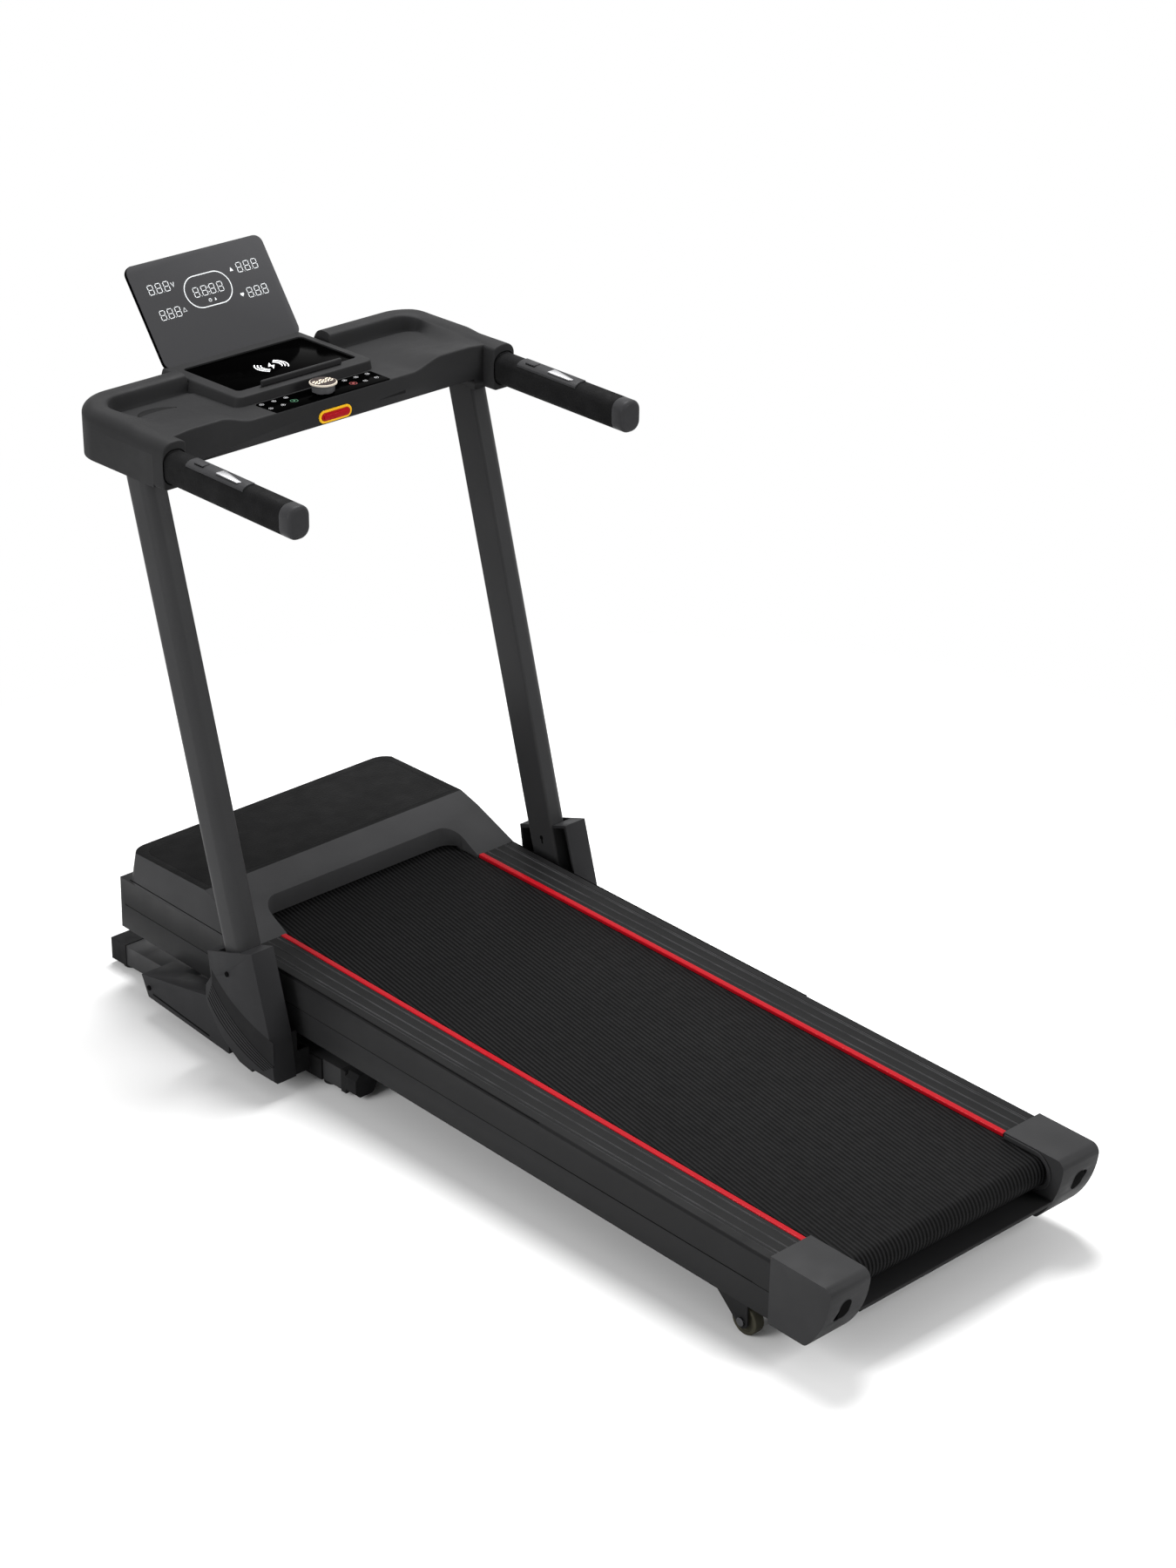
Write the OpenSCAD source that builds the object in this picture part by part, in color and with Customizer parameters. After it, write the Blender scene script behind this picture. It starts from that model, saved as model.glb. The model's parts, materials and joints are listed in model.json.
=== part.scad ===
// Folding motorised treadmill: base frame, leaning uprights, console with handles,
// and a deck that lifts for incline and folds up between the uprights.
// Millimetres. +Z is up, +Y is the walking direction, +X is the user's right.

/* [Deck] */
// Slope of the deck at rest, in degrees
deck_tilt = 1.6; // [1.2:0.1:2]
// Height of the pressed side frames
frame_h = 96; // [92:1:104]
// Sheet thickness of the side frames
frame_t = 3; // [2:0.5:4]
// Width of the side frames' flanges
frame_lip = 34; // [28:1:38]
// Height of the side frames' underside above the rear wheel axle
frame_rise = 35; // [33:1:40]
// Length from the end caps to the hood's arms
run_l = 1210; // [1150:5:1260]
// Length of the side frames ahead of the hood's arms
nose_l = 353; // [345:1:370]
// Length of the end caps
cap_l = 120; // [116:1:130]
// Wall of the end caps, hood and pan
shell_t = 3; // [2.5:0.5:4]
// Setback of the end caps from the rear wheel axle
cap_setback = 56; // [50:1:62]

/* [Belt and rollers] */
// Width of the walking belt
belt_w = 418; // [380:1:440]
// Width of each side rail
rail_w = 69.5; // [62:0.5:84]
// Thickness of the walking belt
belt_t = 2; // [1.5:0.1:2.4]
// Radius of both rollers
roller_r = 23; // [21:0.5:24]
// Thickness of the running board
board_t = 16; // [12:1:18]
// Diameter of the roller axles
axle_d = 12; // [10:1:14]
// Radius of the pulley on the front roller
pulley_r = 30; // [26:1:31]
// Radius of the pulley on the motor
motor_pulley_r = 15; // [12:1:18]
// Width of both pulleys
pulley_w = 16; // [12:1:18]
// Gap between a turning part and the part that it turns on
running_gap = 0.05; // [0.02:0.01:0.09]
// Thickness of the foot rails
rail_t = 6.5; // [5:0.5:8]
// Width of the coloured edge strips
strip_w = 11; // [8:0.5:12]
// Spacing of the ridges on the foot rails
ridge_pitch = 19; // [16:0.5:20]

/* [Motor and hood] */
// Diameter of the motor
motor_d = 84; // [76:1:88]
// Length of the motor's case
motor_l = 150; // [130:1:170]
// Height of the hood above the side frames
hood_h = 60; // [56:1:66]
// Length of the hood's flat top
hood_top_l = 205; // [195:1:212]

/* [Rear wheels] */
// Radius of the rear wheels
wheel_r = 25; // [22:0.5:28]
// Width of the rear wheels
wheel_w = 17; // [14:0.5:18]
// Diameter of the wheel bolts
wheel_bolt_d = 8; // [6:0.5:10]

/* [Fold and lift] */
// Diameter of the fold shaft
shaft_d = 20; // [16:1:22]
// Distance of the fold shaft from the front end of the side frames
fold_setback = 58; // [54:1:66]
// Height of the fold shaft above the side frames' underside
fold_rise = 25; // [22:1:30]
// Distance of the lift pivot behind the fold shaft
lift_reach = 250; // [235:1:260]
// Height of the lift pivot above the floor
lift_pivot_z = 66; // [65:0.5:68]
// Diameter of the lift pivot pins
lift_pin_d = 16; // [12:1:18]
// Thickness of the lift arms
arm_t = 8; // [6:0.5:10]
// Distance from the fold shaft to the gas strut's lower pin
strut_lever = 90; // [86:1:94]
// Distance from the fold shaft to the gas strut's upper pin
strut_reach = 450; // [440:1:470]
// Diameter of the gas strut's cylinder
strut_d = 22; // [18:1:24]
// Diameter of the gas strut's rod
strut_rod_d = 10; // [8:1:12]

/* [Base] */
// Width of the base tubes
tube_w = 40; // [36:1:42]
// Height of the base tubes
tube_h = 38; // [34:1:39]
// Wall of the base tubes
tube_t = 2; // [1.5:0.5:3]
// Height of the rubber feet
foot_h = 10; // [8:1:12]
// Length of the base tubes
base_l = 638; // [630:1:650]

/* [Uprights] */
// Room that the stand takes beyond the deck on each side
side_room = 73; // [68:1:90]
// Forward lean of the uprights, in degrees
lean = 14.5; // [14:0.1:15]
// Thickness of the uprights across the treadmill
upright_w = 40; // [38:1:42]
// Depth of the uprights along the treadmill
upright_d = 62; // [58:1:64]
// Wall of the uprights and handle tubes
upright_t = 2; // [1.5:0.5:3]

/* [Console] */
// Height of the console's underside at its sides
console_z = 1002; // [990:1:1010]
// Depth of the console from rear face to front rim
console_d = 236; // [230:1:244]
// Height of the console at its rear face
console_h = 78; // [74:1:82]
// Radius of the console's front corners
console_r = 76; // [60:1:100]
// Width of the display
display_w = 284; // [270:1:290]
// Length of the display along its slope
display_l = 186; // [180:1:200]
// Thickness of the display
display_t = 8; // [6:0.5:10]
// Lean of the display from the vertical, in degrees
display_lean = 35; // [30:1:40]
// Diameter of the rotary knob
knob_d = 46; // [40:1:48]
// Height of the rotary knob
knob_h = 18; // [15:1:20]

/* [Handles] */
// Width of the handle grips
grip_w = 42; // [38:1:43]
// Height of the handle grips
grip_h = 54; // [50:1:56]
// Thickness of the grip sleeves
grip_t = 4; // [3:0.5:5]
// Length of the handles behind the console
handle_l = 336; // [330:1:380]
// Rise of the handles toward the console, in degrees
handle_rise = 1; // [0:0.1:1.5]

/* [Hidden] */
$fn = 48;
touch = 0.3;                       // space between moving soft or curved neighbours
sink = 0.01;                       // overrun of a cutting tool past a face

// ---- Places shared by several pieces ----
axle_y = 64.5 - (run_l + nose_l) / 2;      // rear wheel axle
cap_front = -cap_setback;          // all deck places are lengths along the deck from the wheel axle
cap_rear = cap_front - cap_l;
arm_rear = cap_front + run_l;
nose = arm_rear + nose_l;
under = frame_rise;                // underside of the side frames
over = under + frame_h;            // top of the side frames
belt_top = over + 3;
board_top = belt_top - belt_t;
roller_n = board_top - roller_r;
belt_low = roller_n - roller_r - belt_t;
roller_rear = cap_front - 65;
roller_front = arm_rear + 110;
board_front = roller_front - 36;
board_rear = roller_rear + 36;
strip_in = belt_w / 2 + 5.5;
rail_in = strip_in + strip_w;
half = rail_in + rail_w;           // outer face of the deck
overall_w = 2 * (half + side_room);
web_in = half - frame_t;
cap_in = belt_w / 2 + 3;
rail_top = over + rail_t;
fold_s = nose - fold_setback;
fold_n = under + fold_rise;
pulley_x = belt_w / 2 + 6;
motor_s = roller_front + 132;
motor_n = over - 14;

// Point of the deck in the treadmill's own frame
function deck_y(s, n) = axle_y + s * cos(deck_tilt) - n * sin(deck_tilt);
function deck_z(s, n) = wheel_r + s * sin(deck_tilt) + n * cos(deck_tilt);
fold_y = deck_y(fold_s, fold_n);
fold_z = deck_z(fold_s, fold_n);
lift_y = fold_y - lift_reach;
frame_y = fold_y - 735.76;         // the stand keeps its place beside the fold shaft

tube_out = half - 19;
tube_in = tube_out - tube_w;
tube_z = foot_h;
tube_top = tube_z + tube_h;
base_rear = 214 + frame_y;
base_front = base_rear + base_l;
plug_l = 38;

up_out = overall_w / 2 - 5;
up_in = up_out - upright_w;
up_foot_z = 52;
up_foot_y = 383 + frame_y;         // front edge of the upright at its foot
up_top_z = console_z + 36;
up_len = (up_top_z - up_foot_z) / cos(lean);
function up_front(z) = up_foot_y + (z - up_foot_z) * tan(lean);
function up_rear(z) = up_front(z) - upright_d / cos(lean);

con_rear = 532 + frame_y;
con_front = con_rear + console_d;
con_half = overall_w / 2 - 1;
con_mid_z = console_z + 19;
con_top = console_z + console_h;
con_seam = con_top - 24;
rim_top = con_top + 10;
block_top = con_top - 2;
block_half = 146;
block_rear = con_rear + 64;
block_front = con_front + 30;
strip_top = con_top - 15;
handle_x = con_half - grip_w / 2 - 2;
handle_z = console_z + 3;          // underside of the grips at their rear end
handle_end = con_rear - handle_l;
knob_y = con_rear + 28;
key_z = (con_mid_z + strip_top) / 2 - 9;

// Covers and brackets at the foot of each upright
cover_in = up_in - 6;
cover_out = overall_w / 2;
base_cover_out = tube_out + 70;
cover_screw_r = 2.5;
bracket_bolt_r = 4;
bracket_bolts = [62, 86];          // heights of the bolts in each bracket
bracket_foot = 46;
bracket_top = 100;

// Console and handles
pod_in = con_half - 66;            // inner face of the side pods that hold the handles and uprights
collar_l = 27;                     // how far the collars stand out behind the console
pad_half = 124;
pad_rear = con_rear + 92;
pad_front = con_rear + 240;
knob_stem_r = 4;
key_l = 58;
key_h = 13;
grip_r = 18;                       // corner radius of the grips
tube_r = 12;                       // corner radius of the tubes inside them
cap_len = 26;
collar_gap = 3;
pad_start = 117;                   // distance of the thumb pads from the handles' rear ends
thumb_pad_l = 142;
pad_rise = 2.4;
pad_side = 5;                      // how far the pads sit to the right of the handles' middle
key_at = pad_start + 105;          // rear edge of the thumb keys
thumb_key_l = 22;
thumb_key_w = 13;
thumb_travel = 1.2;

// Lift, fold and gas spring
lever_lean = 60;                   // angle of the fold shaft's lever under the deck
lever_end = [fold_s - strut_lever * cos(lever_lean), fold_n - strut_lever * sin(lever_lean)];
strut_end = [fold_s - strut_reach, fold_n];
strut_len = norm(strut_end - lever_end);
strut_dir = atan2(strut_end[1] - lever_end[1], strut_end[0] - lever_end[0]);
strut_pin_r = 5;
eye_half = 5;
lever_out = strut_d / 2 + 7;
hub_r = 15;
bar_down = [80, -26];              // cross bar of the lift frame, measured from the lift pins
lift_bar_r = 8;
crank_x = tube_in - 76;
shaft_half = half - 37;

// Deck
wheel_x = half - 18;
foot_n = 32;                       // top of the wheel bracket's plate
corner = [cap_rear + 15, over - 2];
toe = [cap_rear + 50, under + 4];
corner_r = 15;
toe_r = 12;
belly_r = 170;                     // round of the end caps' rear faces
rail_ridge = 1.2;
motor_x = pulley_x - 160;
axle_r = axle_d / 2;
hood_low = over;
hood_peak = hood_low + hood_h + 2;
hood_rear = nose - hood_top_l - 21;
hood_front = nose - 8;
hood_top_w = half - 7;
hood_fall = 1.8;                   // slope of the hood's top towards the front
hood_step = [hood_rear - 41, hood_peak - 28];
arch_half = belt_w / 2 + 3;
arch_s = hood_rear - 56;           // front edge of the opening in the hood
arch_r = 32;

adjuster_x = half - 33;
crossbar_places = [cap_front + 156, (cap_front + arm_rear) / 2 + 51, arm_rear - 4];
control_x = 19 - belt_w / 2;
inlet_x = control_x;
inlet_n = fold_n + 14;
can_l = 282;                       // far end of the gas spring's cylinder

// ---- Shared shapes ----
module deck_frame() { translate([0, axle_y, wheel_r]) rotate([deck_tilt, 0, 0]) children(); }

// Bar along X between two places, with its section drawn as (length, height)
module across(x1, x2) {
    translate([x1, 0, 0]) rotate([90, 0, 90]) linear_extrude(x2 - x1) children();
}

module rod_x(x1, x2, r) { translate([x1, 0, 0]) rotate([0, 90, 0]) cylinder(h = x2 - x1, r = r); }

module both() {
    children();
    mirror([1, 0, 0]) children();
}

// Rectangle with round corners, centred
module soft_rect(w, h, r) {
    square([w - 2 * r, h], center = true);
    square([w, h - 2 * r], center = true);
    for (i = [-1, 1], j = [-1, 1]) translate([i * (w / 2 - r), j * (h / 2 - r)]) circle(r);
}

module box(lo, hi) { translate(lo) cube(hi - lo); }

// ---- Base ----
module base_tubes() {
    color("#3a3a3a") both() difference() {
        box([tube_in, base_rear, tube_z], [tube_out, base_front, tube_top]);
        box([tube_in + tube_t, base_rear - sink, tube_z + tube_t],
            [tube_out - tube_t, base_front + sink, tube_top - tube_t]);
    }
}

module base_crossbars() {
    color("#333333") {
        for (y = [base_front - plug_l - 46, lift_y - 20]) difference() {
            box([-tube_in, y, tube_z], [tube_in, y + 40, tube_top - 2]);
            box([-tube_in - 1, y + tube_t, tube_z + tube_t],
                [tube_in + 1, y + 40 - tube_t, tube_top - 2 - tube_t]);
        }
        both() difference() {
            union() {
                box([tube_in - 30, lift_y - 16, tube_top - 2], [tube_in - 22, lift_y + 16, lift_pivot_z]);
                translate([0, lift_y, lift_pivot_z]) rod_x(tube_in - 30, tube_in - 22, 16);
            }
            translate([0, lift_y, lift_pivot_z]) rod_x(tube_in - 31, tube_in - 21, lift_pin_d / 2);
        }
    }
}

module base_tube_ends() {
    color("#262626") both() {
        difference() {
            box([tube_in - 1.5, base_front - plug_l, tube_z - 1.5],
                [tube_out + 1.5, base_front + 4, tube_top + 1.5]);
            box([tube_in, base_front - plug_l - sink, tube_z], [tube_out, base_front, tube_top]);
        }
        translate([0, base_rear, 0]) rear_bumper();
    }
}

// Rectangle with cut corners, centred
module cut_rect(w, h, c) {
    polygon([[c - w / 2, -h / 2], [w / 2 - c, -h / 2], [w / 2, c - h / 2], [w / 2, h / 2 - c],
             [w / 2 - c, h / 2], [c - w / 2, h / 2], [-w / 2, h / 2 - c], [-w / 2, c - h / 2]]);
}

// Eight-sided rubber cap on the rear end of a base tube, with a sleeve round the tube
module rear_bumper() {
    translate([(tube_in + tube_out) / 2, 0, (tube_z + tube_top) / 2]) rotate([90, 0, 0]) {
        linear_extrude(26) cut_rect(tube_w + 4, tube_h + 4, 9);
        translate([0, 0, -12]) linear_extrude(12) difference() {
            cut_rect(tube_w + 4, tube_h + 4, 1);
            square([tube_w, tube_h], center = true);
        }
    }
}

module base_feet() {
    color("#1c1c1c") both() for (y = [base_front - 26, base_rear + 60])
        translate([(tube_in + tube_out) / 2, y, 0]) {
            cylinder(h = foot_h - 1.5, r = 15);
            if (y < base_front - plug_l) cylinder(h = foot_h, r = 13);
        }
}

// Steel box on the outside of the base tube, with a block that the upright is bolted to
module upright_brackets() {
    rear = up_rear(up_foot_z);
    front = up_front(up_foot_z);
    wall = cover_in - touch;
    color("#2e2e2e") both() {
        box([tube_out, base_rear + 60, tube_z], [tube_out + 4, base_rear + 440, tube_top]);
        difference() {
            union() {
                box([tube_out + 4, rear - 14, tube_z + 8], [wall, front + 24, under + wheel_r]);
                box([half + 9, rear - 14, tube_z + 8], [wall, front + 24, bracket_top]);
                box([wall, rear + 4, bracket_foot], [up_in, front - 4, bracket_top]);
            }
            box([tube_out + 8, rear - 10, tube_z + 12], [wall - 4, front + 20, bracket_top + 1]);
            for (z = bracket_bolts) translate([0, up_front(z) - upright_d / 2, z])
                rod_x(wall - 5, up_in + 1, bracket_bolt_r);
        }
    }
}

// ---- Covers at the foot of the uprights ----
// Side outline of the cover round the upright's foot, as (length, height)
cover_outline = [[452, 214], [446, 168], [461, 147], [463, 120], [444, 88], [423, 64], [400, 48],
                 [378, 35], [344, 29], [321, 27], [286, 29], [296, 112], [334, 252]];
// The same outline inside the cover's wall
cover_cavity = [[447, 208], [441, 168], [456, 145], [458, 121], [440, 91], [420, 68], [397, 52],
                [376, 39], [344, 33], [322, 31], [290, 33], [300, 111], [337, 246]];

module upright_cover() {
    translate([0, frame_y, 0]) difference() {
        across(cover_in, cover_out) polygon(cover_outline);
        across(cover_in - 1, up_out + 2) polygon(cover_cavity);
        // bevel under the toe
        translate([cover_out, 300, 14]) rotate([0, 45, 0]) cube([30, 90, 30], center = true);
        // screw hole
        translate([0, 401, 190]) rod_x(up_out, cover_out + 1, cover_screw_r);
        translate([0, -frame_y, 0]) upright_passage();
    }
}

// Space for an upright with 1 mm to spare
module upright_passage() {
    translate([(up_in + up_out) / 2, up_foot_y, up_foot_z]) rotate([-lean, 0, 0])
        translate([0, -upright_d / 2, 0]) linear_extrude(up_len)
            square([upright_w + 2, upright_d + 2], center = true);
}

module upright_cover_right() { color("#303030") upright_cover(); }
module upright_cover_left() { color("#303030") mirror([1, 0, 0]) upright_cover(); }

// Side outline of the low cover ahead of the upright's foot
base_cover_outline = [[673, 74], [656, 37], [470, 17], [466, 115], [500, 104]];
base_cover_cavity = [[666, 70], [652, 41], [473, 21], [469, 110], [499, 100]];

module base_cover() {
    translate([0, frame_y, 0]) difference() {
        across(tube_out + 4.3, base_cover_out) polygon(base_cover_outline);
        across(tube_out + 4, base_cover_out - shell_t) polygon(base_cover_cavity);
        // room for the side frame
        box([tube_out, 450, under + wheel_r + 24], [half + 3, 700, console_z]);
        translate([0, 652, 56]) rod_x(base_cover_out - 10, base_cover_out + 1, cover_screw_r);
    }
}

module base_cover_right() { color("#353535") base_cover(); }
module base_cover_left() { color("#353535") mirror([1, 0, 0]) base_cover(); }

module cover_screws() {
    color("#141414") both() translate([0, frame_y, 0]) {
        translate([0, 401, 190]) {
            rod_x(up_out, cover_out + 1.5, cover_screw_r - 0.1);
            rod_x(cover_out, cover_out + 2, 4.5);
        }
        translate([0, 652, 56]) {
            rod_x(base_cover_out - 10, base_cover_out + 1.5, cover_screw_r - 0.1);
            rod_x(base_cover_out, base_cover_out + 2, 4.5);
        }
    }
}

// ---- Uprights ----
// Half-oval section: flat towards the deck, rounded outside
module upright_section(w, d) {
    soft_rect(w, d, min(w, d) / 2 - 4);
    translate([-w / 4, 0]) soft_rect(w / 2, d, 5);
}

module upright() {
    translate([(up_in + up_out) / 2, up_foot_y, up_foot_z]) rotate([-lean, 0, 0])
        translate([0, -upright_d / 2, 0]) difference() {
            linear_extrude(up_len) upright_section(upright_w, upright_d);
            translate([0, 0, -1]) linear_extrude(up_len + 2)
                upright_section(upright_w - 2 * upright_t, upright_d - 2 * upright_t);
        }
}

module upright_holes() {
    for (z = bracket_bolts) translate([0, up_front(z) - upright_d / 2, z])
        rod_x(up_in - 1, up_in + upright_t + 2, bracket_bolt_r);
}

module upright_right() { color("#2f2f2f") difference() { upright(); upright_holes(); } }
module upright_left() { mirror([1, 0, 0]) upright_right(); }

module frame_bolts() {
    wall = cover_in - touch - 4;
    color("#8a8a8a") both() {
        for (z = bracket_bolts) translate([0, up_front(z) - upright_d / 2, z]) {
            rod_x(wall, up_in + upright_t + 6, bracket_bolt_r - 0.05);
            rod_x(wall - 5, wall, bracket_bolt_r + 3);
        }
        // pins that the lift arms turn on
        translate([0, lift_y, lift_pivot_z]) {
            rod_x(tube_in - 30, tube_in, lift_pin_d / 2);
            rod_x(tube_in - 34, tube_in - 30, lift_pin_d / 2 + 4);
        }
    }
}

// ---- Console ----
// Plan of the console, drawn inside its outer face by an inset
module console_plan(inset) {
    r = console_r - inset;
    w = con_half - inset;
    translate([-w, con_rear + inset]) square([2 * w, console_d - console_r - inset]);
    translate([r - w, con_rear + inset]) square([2 * (w - r), console_d - 2 * inset]);
    for (i = [-1, 1]) translate([i * (w - r), con_front - console_r]) circle(r);
}

// Slanted space for a handle tube with room round it
module handle_bore(gap) {
    both() handle_place() linear_extrude(handle_l + 80)
        soft_rect(grip_w - 2 * grip_t + 2 * gap, grip_h - 2 * grip_t + 2 * gap, tube_r + gap);
}

// Collar of a side pod, behind the console, that the grip ends in
module collar() {
    y = con_rear;
    z = console_z;
    across(handle_x - grip_w / 2 - 2, con_half) polygon([[y + 4, z], [y - 14, z + 6], [y - 20, z + 22],
        [y - 25, z + 46], [y - collar_l, z + 64], [y - collar_l + 3, z + 72], [y - touch, z + 76],
        [y - touch, con_seam], [y + 4, con_seam]]);
}

module console_shell() {
    color("#303030") difference() {
        union() {
            translate([0, 0, con_mid_z]) linear_extrude(con_seam - con_mid_z) console_plan(0);
            intersection() {
                translate([0, 0, console_z]) linear_extrude(con_seam - console_z) console_plan(0);
                both() box([pod_in, con_rear, console_z - 1], [con_half, con_front, con_seam]);
            }
            both() collar();
        }
        translate([0, 0, con_mid_z + shell_t]) linear_extrude(80) console_plan(shell_t);
        both() intersection() {
            translate([0, 0, console_z + shell_t]) linear_extrude(80) console_plan(shell_t);
            box([pod_in + shell_t, con_rear, console_z], [con_half, con_front, con_seam + 1]);
        }
        both() upright_passage();
        handle_bore(0.5);
        // pocket for the safety key's socket
        translate([0, con_rear + 6, key_z]) rotate([90, 0, 0]) linear_extrude(14) soft_rect(68, 22, 10.9);
    }
}

// One tray pocket beside the centre block
module tray_pocket() {
    wide = con_half - 50 - block_half;
    translate([block_half + wide / 2 + 2, (con_rear + con_front) / 2 - 8, 0])
        linear_extrude(60) soft_rect(wide, console_d - 90, 26);
}

module console_top() {
    color("#2c2c2c") difference() {
        union() {
            translate([0, 0, con_seam]) linear_extrude(con_top - 4 - con_seam) console_plan(0);
            translate([0, 0, con_top - 4]) linear_extrude(4) console_plan(2);
            // raised rim round the front and sides
            difference() {
                union() {
                    translate([0, 0, con_top]) linear_extrude(6) console_plan(6);
                    translate([0, 0, con_top + 6]) linear_extrude(4) console_plan(13);
                }
                box([46 - con_half, con_rear - 1, con_top - 1],
                    [con_half - 46, con_front - 46, rim_top + 1]);
                box([-con_half, con_rear - 1, con_top + 2], [con_half, con_rear + 24, rim_top + 1]);
            }
            // centre block that carries the pad and the display
            box([-block_half, block_rear, con_seam], [block_half, block_front, block_top]);
            box([-block_half, con_front + touch, con_seam - 16], [block_half, block_front, con_seam + 1]);
        }
        both() translate([0, 0, con_seam + 6]) tray_pocket();
        // hollow under the trays and the block
        difference() {
            translate([0, 0, con_seam - 20]) linear_extrude(23) console_plan(shell_t + 0.3);
            both() box([pod_in - 6, con_rear, con_seam - 21], [pod_in - 3, con_front, con_seam + 3]);
        }
        box([shell_t - block_half, block_rear + shell_t, con_seam - 17],
            [block_half - shell_t, block_front - shell_t, block_top - 8]);
        // centre block stays below the rim
        box([-block_half, con_rear + 50, block_top], [block_half, block_front + 1, rim_top + 1]);
        // recesses for the control strip, the pad and the display
        box([-122, con_rear - 1, strip_top - 4], [122, con_rear + 56, con_top + 20]);
        translate([0, (pad_rear + pad_front) / 2, block_top - 3.2]) linear_extrude(10)
            soft_rect(2 * pad_half + 0.6, pad_front - pad_rear + 0.6, 8);
        display_place() translate([-display_w / 2 - 0.5, -display_t - 0.5, -6])
            cube([display_w + 1, display_t + 1, 60]);
        translate([0, knob_y, strip_top - 30]) cylinder(h = 40, r = knob_stem_r + 0.3);
        handle_bore(0.5);
    }
}

module charging_pad() {
    color("#050505") translate([0, (pad_rear + pad_front) / 2, block_top - 3.2]) linear_extrude(3)
        soft_rect(2 * pad_half, pad_front - pad_rear, 8);
}

module phone_ledge() {
    color("#3a3a3a") translate([0, con_rear + 84, block_top]) {
        translate([-84, -3, 0]) cube([168, 6, 8]);
        translate([-84, 0, 8]) rotate([0, 90, 0]) cylinder(h = 168, r = 3);
    }
}

// Frame of the display: X across, Z up its face, Y away from the user
module display_place() {
    translate([0, con_front + 31, block_top - 4]) rotate([-display_lean, 0, 0]) children();
}

module display_housing() {
    color("#111111") display_place() rotate([90, 0, 0]) translate([0, display_l / 2 - 6, 0])
        linear_extrude(display_t - 1.5) soft_rect(display_w, display_l, 16);
}

module display_glass() {
    color("#4b4b4b") display_place() rotate([90, 0, 0]) translate([0, display_l / 2 - 6, display_t - 1.5])
        linear_extrude(1.5) soft_rect(display_w - 1.6, display_l - 1.6, 15.2);
}

module control_strip() {
    color("#060606") difference() {
        box([-120, con_rear + 1, strip_top - 4], [120, con_rear + 54, strip_top]);
        translate([0, knob_y, strip_top - 5]) cylinder(h = 6, r = knob_stem_r + running_gap);
    }
}

module console_board() {
    color("#1d5a2c") difference() {
        union() {
            box([-105, con_rear + 8, con_mid_z + 16], [105, con_rear + 58, con_mid_z + 17.6]);
            for (x = [-98, 98], y = [14, 52]) translate([x, con_rear + y, con_mid_z + shell_t])
                cylinder(h = 13, r = 3);
            for (x = [-70, 40])
                box([x, con_rear + 20, con_mid_z + 17.6], [x + 24, con_rear + 44, con_mid_z + 21]);
        }
        translate([0, knob_y, con_mid_z]) cylinder(h = 40, r = 6);
    }
}

module safety_socket() {
    color("#f2c418") translate([0, con_rear, key_z]) rotate([90, 0, 0]) {
        difference() {
            translate([0, 0, -6]) linear_extrude(8) soft_rect(67.4, 21.4, 10.6);
            translate([0, 0, -3]) linear_extrude(8) soft_rect(key_l + 0.4, key_h + 0.4, key_h / 2 + 0.19);
        }
    }
}

module safety_key() {
    color("#d81818") translate([0, con_rear, key_z]) rotate([90, 0, 0]) {
        translate([0, 0, -3]) linear_extrude(7) soft_rect(key_l, key_h, key_h / 2 - 0.01);
        translate([0, 0, 4]) linear_extrude(2) soft_rect(key_l - 6, key_h - 6, (key_h - 6) / 2 - 0.01);
    }
}

module knob() {
    color("#b8b8b8") translate([0, knob_y, 0]) {
        translate([0, 0, strip_top + touch]) cylinder(h = knob_h - 3, r = knob_d / 2);
        translate([0, 0, strip_top + touch + knob_h - 3]) cylinder(h = 3, r = knob_d / 2 - 2);
        translate([0, 0, con_mid_z + 17]) cylinder(h = strip_top - con_mid_z - 16, r = knob_stem_r);
    }
}

// ---- Handles ----
// Frame of the right handle: origin at its rear end, Z forward along it, X up
module handle_place() {
    translate([handle_x, handle_end, handle_z + grip_h / 2]) rotate([90 - handle_rise, 0, 180]) children();
}

module handle_tubes() {
    color("#404040") both() difference() {
        handle_place() translate([0, 0, cap_len - 14]) linear_extrude(handle_l + 60) difference() {
            soft_rect(grip_w - 2 * grip_t, grip_h - 2 * grip_t, tube_r);
            soft_rect(grip_w - 2 * grip_t - 2 * upright_t, grip_h - 2 * grip_t - 2 * upright_t,
                tube_r - upright_t);
        }
        translate([(up_in + up_out) / 2, up_foot_y, up_foot_z]) rotate([-lean, 0, 0])
            translate([-60, -upright_d, 0]) cube([120, 400, 2 * up_len]);
    }
}

module handle_grips() {
    color("#1f1f1f") both() difference() {
        handle_place() translate([0, 0, cap_len])
            linear_extrude(handle_l - cap_len - collar_gap) difference() {
            soft_rect(grip_w, grip_h, grip_r);
            soft_rect(grip_w - 2 * grip_t, grip_h - 2 * grip_t, tube_r);
        }
        // end cut to follow the slanted collar
        across(0, con_half + 10) polygon([[con_rear - 14 - collar_gap, console_z - 2],
            [con_rear - collar_l - collar_gap, console_z + 64], [con_rear + 20, console_z + 64],
            [con_rear + 20, console_z - 2]]);
    }
}

module handle_caps() {
    color("#3c3c3c") both() handle_place() {
        linear_extrude(6) soft_rect(grip_w - 4, grip_h - 4, 16);
        translate([0, 0, 6]) linear_extrude(cap_len - 20) soft_rect(grip_w, grip_h, grip_r);
        translate([0, 0, cap_len - 14]) linear_extrude(14) difference() {
            soft_rect(grip_w, grip_h, grip_r);
            soft_rect(grip_w - 2 * grip_t, grip_h - 2 * grip_t, tube_r);
        }
    }
}

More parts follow.
